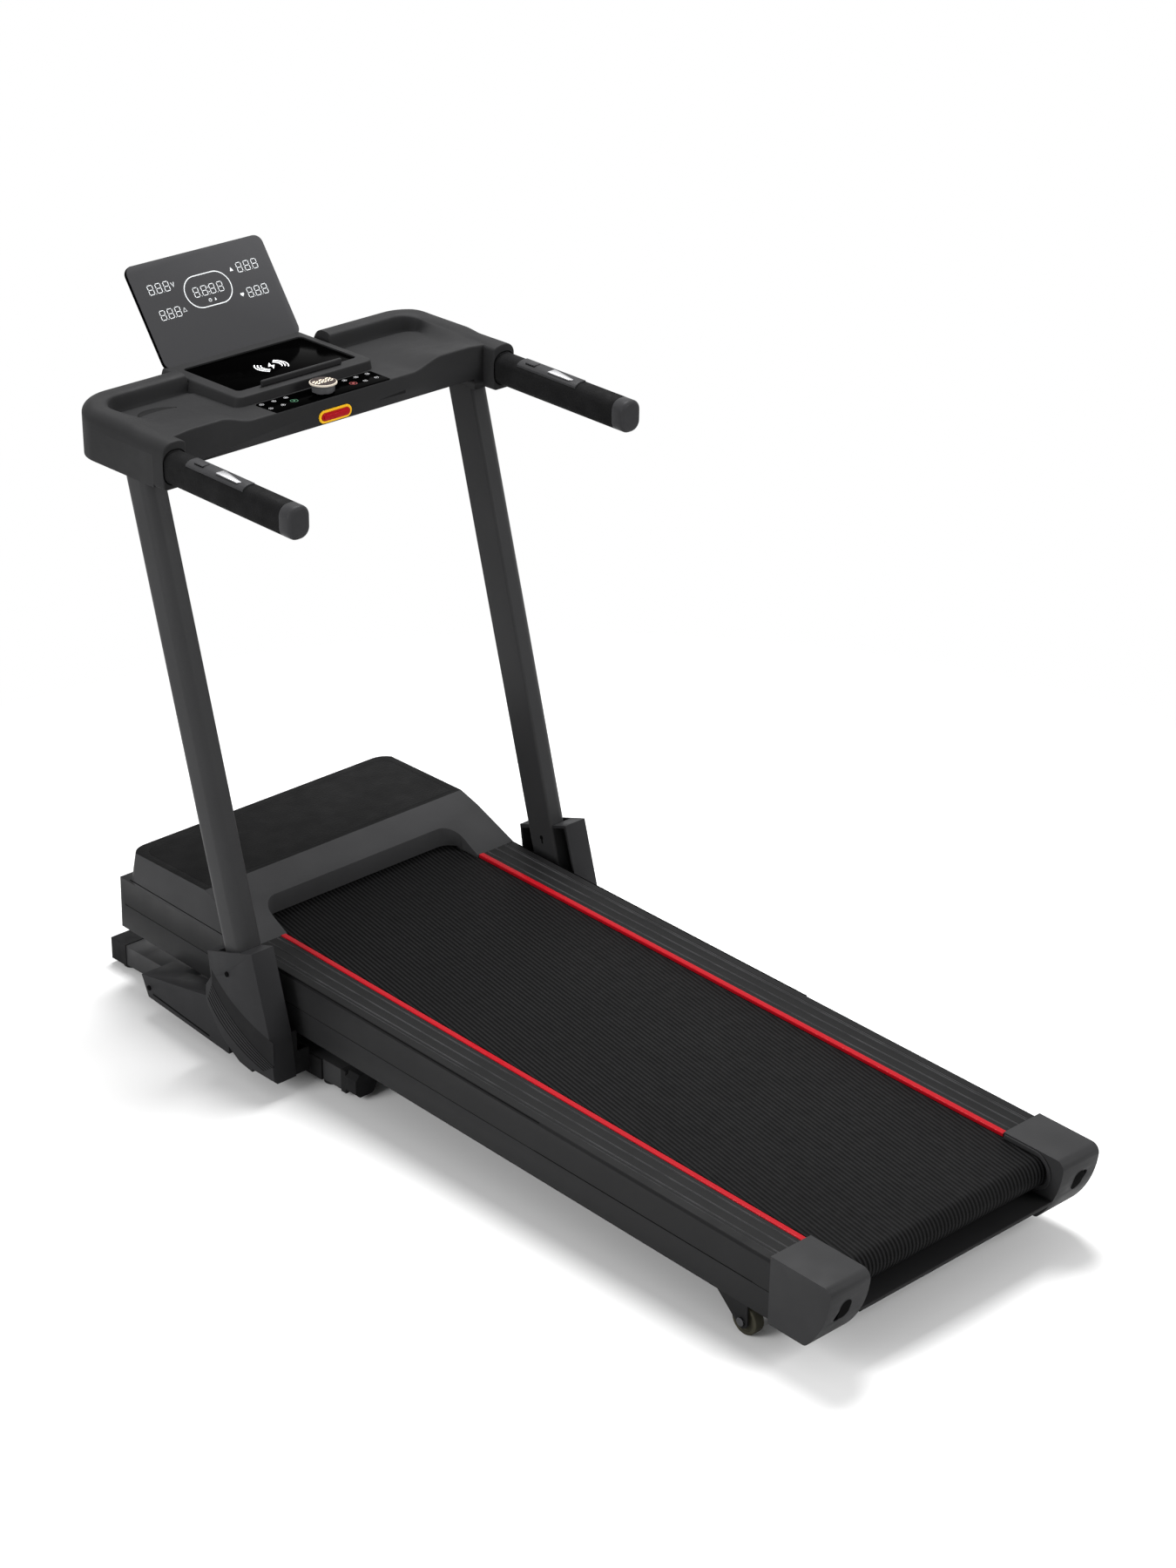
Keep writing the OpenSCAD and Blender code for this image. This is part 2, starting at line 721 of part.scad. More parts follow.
// Thin saddle that follows the top of a grip
module saddle(len, thick) {
    linear_extrude(len) difference() {
        intersection() {
            soft_rect(grip_w + 2 * thick, grip_h + 2 * thick, grip_r + thick);
            translate([pad_side - 12, 8]) square([24, grip_h]);
        }
        soft_rect(grip_w, grip_h, grip_r);
    }
}

// The two handles carry the same pads, not mirrored ones
module each_handle() {
    children();
    translate([-2 * handle_x, 0, 0]) children();
}

module thumb_pads() {
    color("#333333") each_handle() difference() {
        handle_place() translate([0, 0, pad_start]) saddle(thumb_pad_l, pad_rise);
        handle_place() translate([pad_side - thumb_key_w / 2 - 0.3, grip_h / 2 - 1, key_at - 0.3])
            cube([thumb_key_w + 0.6, 6, thumb_key_l + 0.6]);
        handle_place() plate_prism(0.3, 6);
    }
}

// Triangular prism of the pulse plate on top of the pad
module plate_prism(gap, high) {
    translate([pad_side, grip_h / 2 + 0.8, pad_start + 45]) rotate([-90, 0, 0])
        linear_extrude(high) polygon([[-8 - gap, -26 - gap], [8 + gap, -26 - gap], [8 + gap, 26 + gap],
            [2, 30 + gap], [-8 - gap, -18]]);
}

module pulse_plates() { color("#c9c9c9") each_handle() handle_place() plate_prism(0, 2); }

module thumb_key() {
    handle_place() translate([pad_side - thumb_key_w / 2, grip_h / 2 + thumb_travel + 0.3, key_at])
        cube([thumb_key_w, 1.9, thumb_key_l]);
}

module thumb_key_right() { color("#454545") thumb_key(); }
module thumb_key_left() { color("#454545") translate([-2 * handle_x, 0, 0]) thumb_key(); }

// ---- Lift and fold ----
// Flat link between two places, with round ends
module link(a, b, w) {
    d = b - a;
    translate(a) rotate(atan2(d[1], d[0])) {
        translate([0, -w / 2]) square([norm(d), w]);
        circle(w / 2);
        translate([norm(d), 0]) circle(w / 2);
    }
}

module lift_frame() {
    p = [lift_y, lift_pivot_z];
    q = [fold_y, fold_z];
    bar = p + bar_down;
    x = tube_in - 6 - arm_t;
    color("#2a2a2a") {
        both() difference() {
            union() {
                across(x, x + arm_t) {
                    link(p, q, 20);
                    link(p, bar, 2 * lift_bar_r + 6);
                    link(bar, q, 14);
                }
                across(x, x + arm_t) translate(p) circle(hub_r - 1);
                across(x, x + arm_t) translate(q) circle(hub_r);
            }
            translate([0, p[0], p[1]]) rod_x(x - 1, x + arm_t + 1, lift_pin_d / 2 + running_gap);
            translate([0, q[0], q[1]]) rod_x(x - 1, x + arm_t + 1, shaft_d / 2 + running_gap);
        }
        translate([0, bar[0], bar[1]]) rod_x(-x - 1, x + 1, lift_bar_r);
        // crank that the lift motor turns
        difference() {
            across(crank_x, crank_x + arm_t) {
                link(p, bar, 20);
                translate(p) circle(hub_r - 1);
            }
            translate([0, p[0], p[1]])
                rod_x(crank_x - 1, crank_x + arm_t + 1, lift_pin_d / 2 + running_gap);
        }
    }
}

// Gear motor on the base that turns the lift frame
module lift_motor() {
    color("#4a4a4a") {
        box([crank_x - 96, lift_y - 20, tube_top - 2], [crank_x - 20, lift_y + 20, tube_top + 34]);
        translate([0, lift_y, lift_pivot_z]) {
            rod_x(crank_x - 20, crank_x - 4, 17);
            rod_x(crank_x - 4, crank_x + arm_t + 4, lift_pin_d / 2);
        }
        difference() {
            translate([0, lift_y, lift_pivot_z]) rod_x(crank_x - 126, crank_x - 96, 19);
            translate([0, lift_y, lift_pivot_z]) rod_x(crank_x - 127, crank_x - 123, 15);
        }
    }
}

module fold_shaft() {
    color("#9a9a9a") deck_frame() {
        translate([0, fold_s, fold_n]) rod_x(-shaft_half, shaft_half, shaft_d / 2);
        for (x = [-lever_out, lever_out - 6]) {
            across(x, x + 6) {
                link([fold_s, fold_n], lever_end, 22);
                translate([fold_s, fold_n]) circle(hub_r + 2);
            }
        }
        translate([0, lever_end[0], lever_end[1]]) rod_x(-lever_out, lever_out, strut_pin_r);
    }
}

// Frame of the gas spring: Z along it from the lever's pin
module strut_place() {
    deck_frame() translate([0, lever_end[0], lever_end[1]]) rotate([strut_dir - 90, 0, 0]) children();
}

module gas_cylinder() {
    color("#171717") strut_place() difference() {
        union() {
            translate([0, 0, 16]) cylinder(h = can_l - 16, r = strut_d / 2);
            rod_x(-eye_half, eye_half, 11);
            box([-eye_half, -8, 0], [eye_half, 8, 20]);
        }
        translate([0, 0, 24]) cylinder(h = can_l - 36, r = strut_d / 2 - 2);
        cylinder_bore();
        rod_x(-eye_half - 1, eye_half + 1, strut_pin_r + running_gap);
    }
}

module cylinder_bore() {
    translate([0, 0, can_l - 20]) cylinder(h = 30, r = strut_rod_d / 2 + running_gap);
}

module gas_rod() {
    color("#c4c4c4") strut_place() {
        translate([0, 0, can_l - 130]) cylinder(h = strut_len - can_l + 126, r = strut_rod_d / 2);
        translate([0, 0, can_l - 134]) cylinder(h = 8, r = strut_d / 2 - 2 - running_gap);
        difference() {
            union() {
                translate([0, 0, strut_len]) rod_x(-eye_half, eye_half, 10);
                box([-eye_half, -6, strut_len - 16], [eye_half, 6, strut_len]);
            }
            translate([0, 0, strut_len]) rod_x(-eye_half - 1, eye_half + 1, strut_pin_r);
        }
    }
}

// ---- Deck frame ----
module side_frame() {
    deck_frame() {
        difference() {
            union() {
                box([web_in, cap_front, under], [half, nose, over]);
                for (n = [under, over - frame_t])
                    box([half - frame_lip, cap_front, n], [web_in + 1, nose, n + frame_t]);
                // tongue that holds the rear roller inside the end cap
                box([web_in - 8, roller_rear - 20, under + 32], [web_in - touch, cap_front + 70, over - 6]);
                box([web_in - 1, cap_front + 10, under + 32], [web_in + 0.1, cap_front + 70, over - 6]);
                // blocks for the front roller and the fold shaft
                box([web_in - 16, roller_front - 16, roller_n - 16], [web_in + 1, roller_front + 16, over]);
                box([shaft_half - 10, fold_s - 22, under + 3], [web_in + 1, fold_s + 22, fold_n + 24]);
            }
            // groove along the outside
            box([half - 1.2, cap_front - 1, under + frame_h / 2 - 2],
                [half + 1, nose - 12, under + frame_h / 2]);
            translate([0, roller_rear, roller_n])
                rod_x(web_in - 10, half - frame_t + 1, axle_r + running_gap);
            translate([0, roller_front, roller_n]) rod_x(web_in - 18, web_in, axle_r + running_gap);
            translate([0, fold_s, fold_n])
                rod_x(shaft_half - 12, shaft_half + 4, shaft_d / 2 + running_gap);
        }
    }
}

module side_frame_right() { color("#3d3d3d") side_frame(); }
module side_frame_left() { color("#3d3d3d") mirror([1, 0, 0]) side_frame(); }

module deck_crossbars() {
    color("#262626") deck_frame() {
        // bars between the two runs of the belt
        for (s = crossbar_places) difference() {
            box([-web_in, s - 15, belt_low + 5], [web_in, s + 15, belt_low + 27]);
            box([-web_in - 1, s - 13, belt_low + 7], [web_in + 1, s + 13, belt_low + 25]);
        }
        // bar and lug for the gas spring, under the belt
        box([-web_in, strut_end[0] + 13, belt_low - 16], [web_in, strut_end[0] + 33, belt_low - 2]);
        difference() {
            box([eye_half + 1, strut_end[0] - 12, fold_n - 14],
                [eye_half + 6, strut_end[0] + 33, fold_n + 14]);
            translate([0, strut_end[0], strut_end[1]]) rod_x(0, eye_half + 8, strut_pin_r);
        }
        // tray under the rear roller
        box([-cap_in, cap_rear + 17, under + 28], [cap_in, cap_front + 6, under + 34]);
        // rail and plate that carry the motor
        box([-web_in, motor_s - 66, fold_n], [web_in, motor_s - 46, fold_n + 16]);
        box([4 - belt_w / 2, motor_s - 46, fold_n], [belt_w / 2 - 4, motor_s - 42, motor_n + 8]);
        // front bar with its upstand
        box([-web_in, nose - 22, fold_n - 15], [web_in, nose - 2, fold_n + 2]);
        difference() {
            box([-web_in, nose - 5, fold_n - 15], [web_in, nose - 2, over - frame_t]);
            box([inlet_x, nose - 6, inlet_n], [inlet_x + 30, nose, inlet_n + 24]);
        }
    }
}

module power_inlet() {
    color("#141414") deck_frame() difference() {
        union() {
            box([inlet_x + 0.3, nose - 32, inlet_n + 0.3], [inlet_x + 29.7, nose - 2, inlet_n + 23.7]);
            box([inlet_x - 6, nose - 2, inlet_n - 3], [inlet_x + 36, nose, inlet_n + 27]);
        }
        box([inlet_x + 3, nose - 26, inlet_n + 3], [inlet_x + 27, nose + 1, inlet_n + 21]);
    }
}

module running_board() {
    color("#5b4630") deck_frame() {
        box([-belt_w / 2, board_rear, board_top - board_t], [belt_w / 2, board_front, board_top]);
        box([touch - rail_in, cap_front + touch, board_top - board_t],
            [rail_in - touch, arm_rear - touch, board_top]);
    }
}

module board_cushions() {
    color("#161616") deck_frame() both() for (s = crossbar_places) for (x = [60, belt_w / 2 - 24])
        translate([x, s, belt_low + 27]) cylinder(h = board_top - board_t - belt_low - 27, r = 13);
}

module side_rails() {
    color("#333333") deck_frame() both() {
        box([rail_in, cap_front, over], [half, arm_rear, rail_top]);
        box([rail_in, board_rear + 30, board_top - board_t + 2], [rail_in + 3, arm_rear, over + 1]);
        for (i = [0:2]) box([rail_in + 7.7 + i * ridge_pitch, cap_front, rail_top],
            [rail_in + 9.7 + i * ridge_pitch, arm_rear, rail_top + rail_ridge]);
    }
}

module red_strips() {
    color("#d8101c") deck_frame() both()
        box([strip_in, cap_front + 4, board_top], [rail_in - touch, arm_rear, rail_top + 1]);
}

// Outline round two wheels, whose radii may differ
module two_wheels(a, ra, b, rb) {
    d = b - a;
    t = acos((ra - rb) / norm(d));
    u = atan2(d[1], d[0]);
    translate(a) circle(ra);
    translate(b) circle(rb);
    polygon([a + ra * [cos(u + t), sin(u + t)], a + ra * [cos(u - t), sin(u - t)],
        b + rb * [cos(u - t), sin(u - t)], b + rb * [cos(u + t), sin(u + t)]]);
}

// Point at distance a from p and b from q, on the left of the way from q to p
function meeting(p, a, q, b) =
    let (d = q - p, l = norm(d), t = (a * a - b * b + l * l) / (2 * l), h = sqrt(a * a - t * t))
    p + (t * d + h * [-d[1], d[0]]) / l;

module walking_belt() {
    rear = [roller_rear, roller_n];
    front = [roller_front, roller_n];
    color("#1e1e1e") deck_frame() across(-belt_w / 2, belt_w / 2) difference() {
        two_wheels(rear, roller_r + belt_t, front, roller_r + belt_t);
        two_wheels(rear, roller_r, front, roller_r);
    }
}

module roller(s, len) {
    deck_frame() difference() {
        translate([0, s, roller_n]) rod_x(-len, len, roller_r - touch);
        translate([0, s, roller_n]) rod_x(-len - 1, len + 1, axle_r + running_gap);
    }
}

module rear_roller() { color("#8c8c8c") roller(roller_rear, belt_w / 2 - 1); }

module front_roller() {
    color("#8c8c8c") {
        roller(roller_front, belt_w / 2 - 1);
        deck_frame() difference() {
            union() {
                translate([0, roller_front, roller_n]) {
                    rod_x(belt_w / 2 - 2, pulley_x, roller_r - 8);
                    rod_x(pulley_x, pulley_x + pulley_w, pulley_r);
                }
            }
            translate([0, roller_front, roller_n])
                rod_x(belt_w / 2 - 3, pulley_x + pulley_w + 1, axle_r + running_gap);
        }
    }
}

module roller_axles() {
    color("#b0b0b0") deck_frame() {
        translate([0, roller_rear, roller_n]) rod_x(-web_in + 2, web_in - 2, axle_r);
        translate([0, roller_front, roller_n]) rod_x(1 - web_in, web_in - 1, axle_r);
    }
}

module motor() {
    color("#202020") deck_frame() difference() {
        union() {
            translate([0, motor_s, motor_n]) rod_x(motor_x, motor_x + motor_l, motor_d / 2);
            for (x = [motor_x + 10, motor_x + motor_l - 34])
                box([x, motor_s - motor_d / 2, motor_n - 20], [x + 24, motor_s - 20, motor_n + 6]);
        }
        translate([0, motor_s, motor_n]) {
            rod_x(motor_x + 6, motor_x + motor_l - 8, motor_d / 2 - 5);
            rod_x(motor_x - 1, motor_x + motor_l + 1, axle_r + running_gap);
            // cooling holes in the end
            for (a = [45:90:315])
                rotate([a, 0, 0]) translate([0, 22, 0]) rod_x(motor_x - 1, motor_x + 8, 6);
        }
    }
}

module motor_rotor() {
    color("#aaaaaa") deck_frame() translate([0, motor_s, motor_n]) {
        rod_x(motor_x - 4, pulley_x + pulley_w, axle_r);
        rod_x(motor_x + 20, motor_x + motor_l - 20, motor_d / 2 - 8);
        rod_x(pulley_x, pulley_x + pulley_w, motor_pulley_r);
    }
}

module drive_belt() {
    a = [roller_front, roller_n];
    b = [motor_s, motor_n];
    color("#0d0d0d") deck_frame() across(pulley_x + 2, pulley_x + pulley_w - 2) difference() {
        two_wheels(a, pulley_r + touch + 2, b, motor_pulley_r + touch + 2);
        two_wheels(a, pulley_r + touch, b, motor_pulley_r + touch);
    }
}

module motor_controller() {
    color("#1d5a2c") deck_frame() {
        box([control_x - 5, motor_s - 42, fold_n + 20], [control_x + 120, motor_s + 20, fold_n + 24]);
        for (i = [0:8])
            box([control_x + 14 * i, motor_s - 38, fold_n + 24],
                [control_x + 6 + 14 * i, motor_s, fold_n + 56]);
        box([control_x, motor_s + 2, fold_n + 24], [control_x + 110, motor_s + 16, fold_n + 44]);
    }
}

// ---- Hood ----
// Side view of the hood, drawn inside its outer face by an inset
module hood_side(i) {
    polygon([[arm_rear + 3 * i, hood_low - sink * i], [arm_rear + 3 * i, rail_top],
        [hood_step[0] + i, hood_step[1] + 14 - i], [hood_rear + i, hood_peak - i],
        [hood_front - i, hood_peak - i - (hood_front - hood_rear) * tan(hood_fall)],
        [hood_front - 10 - i, hood_low - sink * i]]);
}

module hood_plan(i) {
    r = 38;
    w = half - i;
    translate([-w, arm_rear]) square([2 * w, hood_front - r - arm_rear]);
    translate([r - w, arm_rear]) square([2 * (w - r), hood_front - i - arm_rear]);
    for (k = [-1, 1]) translate([k * (w - r), hood_front - i - r]) circle(r);
}

module hood_solid(i) {
    intersection() {
        across(-half, half) hood_side(i);
        translate([0, 0, hood_low - 1]) linear_extrude(hood_h + 20) hood_plan(i);
        translate([0, nose + 1, 0]) rotate([90, 0, 0]) linear_extrude(nose - arm_rear + 2)
            polygon([[i - half, hood_low - 1], [i - half, hood_low + 4], [i - hood_top_w, hood_peak + 1],
                [hood_top_w - i, hood_peak + 1], [half - i, hood_low + 4], [half - i, hood_low - 1]]);
    }
}

// Frame of the hood's sloping top: Y forward along it, Z out of it
module hood_top_place() {
    deck_frame() translate([0, hood_rear, hood_peak]) rotate([-hood_fall, 0, 0]) children();
}

module panel_plan(i) {
    r = 30 - i;
    w = hood_top_w - 14 - i;
    l = hood_front - hood_rear - 16 - i;
    translate([-w, 10 + i]) square([2 * w, l - r - 10 - i]);
    translate([r - w, 10 + i]) square([2 * (w - r), l - 10 - i]);
    for (k = [-1, 1]) translate([k * (w - r), l - r]) circle(r);
}

// Plan of the opening that the belt comes out of, grown by an amount
module arch_plan(grow) {
    w = arch_half + grow;
    c = arch_r + grow;
    translate([-w, arm_rear - 2]) square([2 * w, arch_s - arch_r - arm_rear + 2]);
    translate([c - w, arm_rear - 2]) square([2 * (w - c), arch_s + grow - arm_rear + 2]);
    for (k = [-1, 1]) translate([k * (w - c), arch_s - arch_r]) circle(c);
}

module hood() {
    color("#4a4a4a") difference() {
        deck_frame() difference() {
            hood_solid(0);
            difference() {
                hood_solid(shell_t + 0.5);
                translate([0, 0, hood_low - 2]) linear_extrude(hood_h + 20) arch_plan(shell_t);
            }
            translate([0, 0, hood_low - 2]) linear_extrude(hood_h + 20) arch_plan(0);
            // room for the belt under the arch's wall
            box([-arch_half, arm_rear + 20, hood_low - 2], [arch_half, arch_s + 80, belt_top + 2]);
        }
        hood_top_place() translate([0, 0, -2]) linear_extrude(6) panel_plan(0);
    }
}

module hood_top_panel() {
    color("#242424") hood_top_place() translate([0, 0, -2]) linear_extrude(2) panel_plan(touch);
}

module belly_pan() {
    color("#202020") deck_frame() difference() {
        box([4 - web_in, arm_rear + 26, under + frame_t],
            [web_in - 4, arm_rear + 108, under + frame_t + 3]);
        box([-22, arm_rear + 25, under], [22, arm_rear + 91, under + 10]);
    }
}

// ---- Rear end ----
// Side view of the end cap, drawn inside its outer face by an inset
module cap_side(i) {
    top = corner[1] + corner_r - i;
    low = toe[1] - toe_r + i;
    two_wheels(corner, corner_r - i, toe, toe_r - i);
    c = meeting(corner, belly_r - corner_r, toe, belly_r - toe_r);
    intersection() {
        translate(c) circle(belly_r - i);
        polygon([corner, c + 1.3 * (corner - c), c + 1.3 * (toe - c), toe]);
    }
    polygon([[cap_front, low], [cap_front, top], [corner[0], top], corner, toe, [toe[0], low]]);
}

module end_caps() {
    color("#454545") deck_frame() difference() {
        both() difference() {
            across(cap_in, half) cap_side(0);
            across(cap_in + shell_t, web_in) cap_side(shell_t);
            box([cap_in + shell_t, cap_front - 4, toe[1]], [web_in, cap_front + 1, over]);
            translate([0, roller_rear, roller_n]) rod_x(cap_in - 1, cap_in + shell_t + 1, axle_r + 2);
        }
        // ways to the belt adjusters, which lean to the same side
        for (i = [-1, 1]) translate([i * adjuster_x, cap_rear + 30, roller_n - 17]) rotate([90, 24, 0])
            linear_extrude(60) soft_rect(15, 38, 7.4);
    }
}

module wheel_brackets() {
    color("#2b2b2b") deck_frame() both() difference() {
        union() {
            for (x = [wheel_x - 14, wheel_x + 11]) across(x, x + 3) {
                polygon([[56, under], [-10, under], [-12, 0], [10, -6]]);
                circle(12);
            }
            box([wheel_x - 14, -10, foot_n], [wheel_x + 14, 56, under]);
        }
        rod_x(wheel_x - 16, wheel_x + 16, wheel_bolt_d / 2);
    }
}

module deck_bolts() {
    color("#9c9c9c") deck_frame() both() {
        rod_x(wheel_x - 14, wheel_x + 14, wheel_bolt_d / 2 - 0.02);
        rod_x(wheel_x + 14, wheel_x + 17.5, wheel_bolt_d / 2 + 3);
        rod_x(wheel_x - 18, wheel_x - 14, wheel_bolt_d / 2 + 3);
        // belt adjusters
        translate([adjuster_x, 0, roller_n]) rotate([90, 0, 0]) {
            translate([0, 0, -roller_rear + axle_r + touch]) cylinder(h = 24, r = 4);
            translate([0, 0, -roller_rear + axle_r + 24]) cylinder(h = 5, r = 6.5);
        }
    }
}

module rear_wheel() {
    deck_frame() difference() {
        rod_x(wheel_x - wheel_w / 2, wheel_x + wheel_w / 2, wheel_r);
        rod_x(wheel_x - wheel_w / 2 - 1, wheel_x + wheel_w / 2 + 1, wheel_bolt_d / 2 + running_gap);
        for (k = [-1, 1]) difference() {
            rod_x(wheel_x + k * (wheel_w / 2 - 1) - 1, wheel_x + k * (wheel_w / 2 - 1) + 1.01, wheel_r - 6);
            rod_x(wheel_x - wheel_w, wheel_x + wheel_w, wheel_bolt_d / 2 + 4);
        }
    }
}

module rear_wheel_right() { color("#3a382f") rear_wheel(); }
module rear_wheel_left() { color("#3a382f") mirror([1, 0, 0]) rear_wheel(); }

base_tubes();
base_crossbars();
base_tube_ends();
base_feet();
upright_brackets();
base_cover_left();
base_cover_right();
upright_cover_left();
upright_cover_right();
upright_left();
upright_right();
cover_screws();
frame_bolts();
console_shell();
console_top();
charging_pad();
phone_ledge();
display_housing();
display_glass();
control_strip();
console_board();
safety_socket();
handle_tubes();
handle_grips();
handle_caps();
thumb_pads();
pulse_plates();
thumb_key_left();
thumb_key_right();
knob();
safety_key();
lift_frame();
fold_shaft();
gas_cylinder();
gas_rod();
side_frame_left();
side_frame_right();
deck_crossbars();
running_board();
board_cushions();
side_rails();
red_strips();
walking_belt();
roller_axles();
front_roller();
rear_roller();
motor();
motor_rotor();
drive_belt();
motor_controller();
power_inlet();
hood();
hood_top_panel();
belly_pan();
end_caps();
wheel_brackets();
deck_bolts();
rear_wheel_left();
rear_wheel_right();
lift_motor();
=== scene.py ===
"""Folding treadmill: rounded surfaces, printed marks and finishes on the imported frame, in a pale studio."""

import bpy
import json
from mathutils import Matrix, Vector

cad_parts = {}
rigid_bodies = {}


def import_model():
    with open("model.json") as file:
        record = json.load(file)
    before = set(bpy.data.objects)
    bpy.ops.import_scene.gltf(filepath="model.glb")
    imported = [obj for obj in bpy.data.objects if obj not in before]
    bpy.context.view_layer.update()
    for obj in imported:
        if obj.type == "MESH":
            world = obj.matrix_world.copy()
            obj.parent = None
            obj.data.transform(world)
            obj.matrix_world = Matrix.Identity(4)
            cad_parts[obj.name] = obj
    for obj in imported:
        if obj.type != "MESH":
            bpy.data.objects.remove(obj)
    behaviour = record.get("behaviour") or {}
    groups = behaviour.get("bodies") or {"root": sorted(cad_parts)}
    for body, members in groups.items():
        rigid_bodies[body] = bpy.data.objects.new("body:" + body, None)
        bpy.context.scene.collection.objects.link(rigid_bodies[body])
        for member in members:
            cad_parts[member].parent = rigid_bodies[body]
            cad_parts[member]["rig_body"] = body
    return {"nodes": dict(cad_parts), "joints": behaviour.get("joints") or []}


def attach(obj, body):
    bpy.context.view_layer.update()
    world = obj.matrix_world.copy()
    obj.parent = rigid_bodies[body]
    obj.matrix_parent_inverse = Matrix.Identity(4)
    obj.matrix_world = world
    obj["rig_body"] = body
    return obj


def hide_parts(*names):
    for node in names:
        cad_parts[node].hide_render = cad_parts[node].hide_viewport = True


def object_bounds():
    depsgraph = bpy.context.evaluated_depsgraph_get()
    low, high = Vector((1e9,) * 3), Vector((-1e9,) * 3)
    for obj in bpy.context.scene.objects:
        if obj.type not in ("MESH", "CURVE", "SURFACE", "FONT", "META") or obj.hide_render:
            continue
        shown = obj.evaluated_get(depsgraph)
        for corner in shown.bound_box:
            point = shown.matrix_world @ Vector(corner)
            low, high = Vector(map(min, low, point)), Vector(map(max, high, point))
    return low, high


bl_info = {
    "name": "Folding treadmill",
    "version": (1, 0, 0),
    "blender": (4, 5, 0),
    "location": "3D View > Sidebar > Treadmill",
    "description": "Builds the outer surfaces and finishes of a folding treadmill on its packed frame",
    "category": "Object",
}

import json
import math

import bmesh
import bpy
import numpy as np
from bpy.props import FloatProperty, FloatVectorProperty, PointerProperty
from mathutils import Vector

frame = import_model()
CAD_BOX = [list(corner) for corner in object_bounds()]
NODES = frame["nodes"]
JOINTS = {joint["name"]: joint for joint in frame["joints"]}


# ---- Places ----
AXLE = np.array(JOINTS["left_wheel_spin"]["pos_m"])
ROLLER_FRONT = np.array(JOINTS["front_roller_spin"]["pos_m"])
ROLLER_REAR = np.array(JOINTS["rear_roller_spin"]["pos_m"])
TILT = math.atan2(ROLLER_FRONT[2] - ROLLER_REAR[2], ROLLER_FRONT[1] - ROLLER_REAR[1])
SIDES = ((1, "right"), (-1, "left"))
ACROSS = np.array([1.0, 0, 0])
RIDGES = 3  # on each foot rail


def on_deck(places):
    """Row places of deck places (x across, y along, z up): turned by the deck's tilt about the rear wheels'
    axle, where both frames have their middle."""
    p = np.asarray(places, float)
    c, s = math.cos(TILT), math.sin(TILT)
    y, z = AXLE[1] + p[..., 1] * c - p[..., 2] * s, AXLE[2] + p[..., 1] * s + p[..., 2] * c
    return np.stack([p[..., 0], y, z], -1)


def from_row(places):
    """Deck places of row places: the inverse turn."""
    d = np.asarray(places, float) - [0, AXLE[1], AXLE[2]]
    c, s = math.cos(TILT), math.sin(TILT)
    return np.stack([d[..., 0], d[..., 1] * c + d[..., 2] * s, d[..., 2] * c - d[..., 1] * s], -1)


def node_points(node, side=0):
    """Corner points of a CAD node as one array; side 1 or -1 takes only those on that side."""
    mesh = NODES[node].data
    points = np.empty(len(mesh.vertices) * 3, np.float32)
    mesh.vertices.foreach_get("co", points)
    points = points.reshape(-1, 3).astype(float)
    return points[points[:, 0] * side > 0] if side else points


def row_box(node):
    """Lowest and highest corner of a CAD node in the row's frame."""
    points = node_points(node)
    return points.min(0), points.max(0)


def deck_box(node):
    """Lowest and highest corner of a CAD node in the deck's frame."""
    points = from_row(node_points(node))
    return points.min(0), points.max(0)


def slab_axes(node, side=0):
    """Middle, directions (longest first) and half sizes of a straight CAD piece: the directions are those in
    which its points spread most, second most and least."""
    points = node_points(node, side)
    axes = np.linalg.svd(points - points.mean(0), full_matrices=False)[2]
    reach = points @ axes.T
    low, high = reach.min(0), reach.max(0)
    return (low + high) / 2 @ axes, axes, (high - low) / 2


def lean_of(axes, along=2):
    """Longest direction of a slab turned to point up (along 2) or ahead (along 1), and the level direction
    that is square to it and to the machine's width."""
    lean = axes[0] * np.sign(axes[0][along])
    return lean, np.cross(lean, ACROSS)


def ease(t):
    """Smooth step from 0 to 1: 3 t squared less 2 t cubed, held outside."""
    t = np.clip(t, 0, 1)
    return t * t * (3 - 2 * t)


# ---- Outlines and grids ----
def rounded(corners, radii, steps=6):
    """Closed outline with each corner replaced by an arc: the arc's centre lies on the corner's bisector,
    it touches both sides radius / tan(half angle) back from the corner, and its points sweep from one
    touching point to the other."""
    p = np.asarray(corners, float)
    r = np.broadcast_to(np.asarray(radii, float), len(p))
    a = np.roll(p, 1, 0) - p
    b = np.roll(p, -1, 0) - p
    a /= np.linalg.norm(a, axis=1)[:, None]
    b /= np.linalg.norm(b, axis=1)[:, None]
    half = np.arccos(np.clip((a * b).sum(1), -1, 1)) / 2
    back = (r / np.tan(half))[:, None]
    mid = a + b
    mid /= np.maximum(np.linalg.norm(mid, axis=1), 1e-9)[:, None]
    centre = p + mid * (r / np.sin(half))[:, None]
    start = np.arctan2(*(p + a * back - centre).T[::-1])
    end = np.arctan2(*(p + b * back - centre).T[::-1])
    sweep = (end - start + np.pi) % (2 * np.pi) - np.pi
    t = np.linspace(0, 1, steps)
    angle = start[:, None] + sweep[:, None] * t
    arc = centre[:, None] + r[:, None, None] * np.stack([np.cos(angle), np.sin(angle)], -1)
    sharp = (r < 1e-9)[:, None, None]
    return np.where(sharp, p[:, None], arc).reshape(-1, 2)


def soft_rect(wide, high, radius, steps=7):
    """Rounded rectangle about the origin, counterclockwise."""
    w, h = wide / 2, high / 2
    return rounded([[w, -h], [w, h], [-w, h], [-w, -h]], radius, steps)


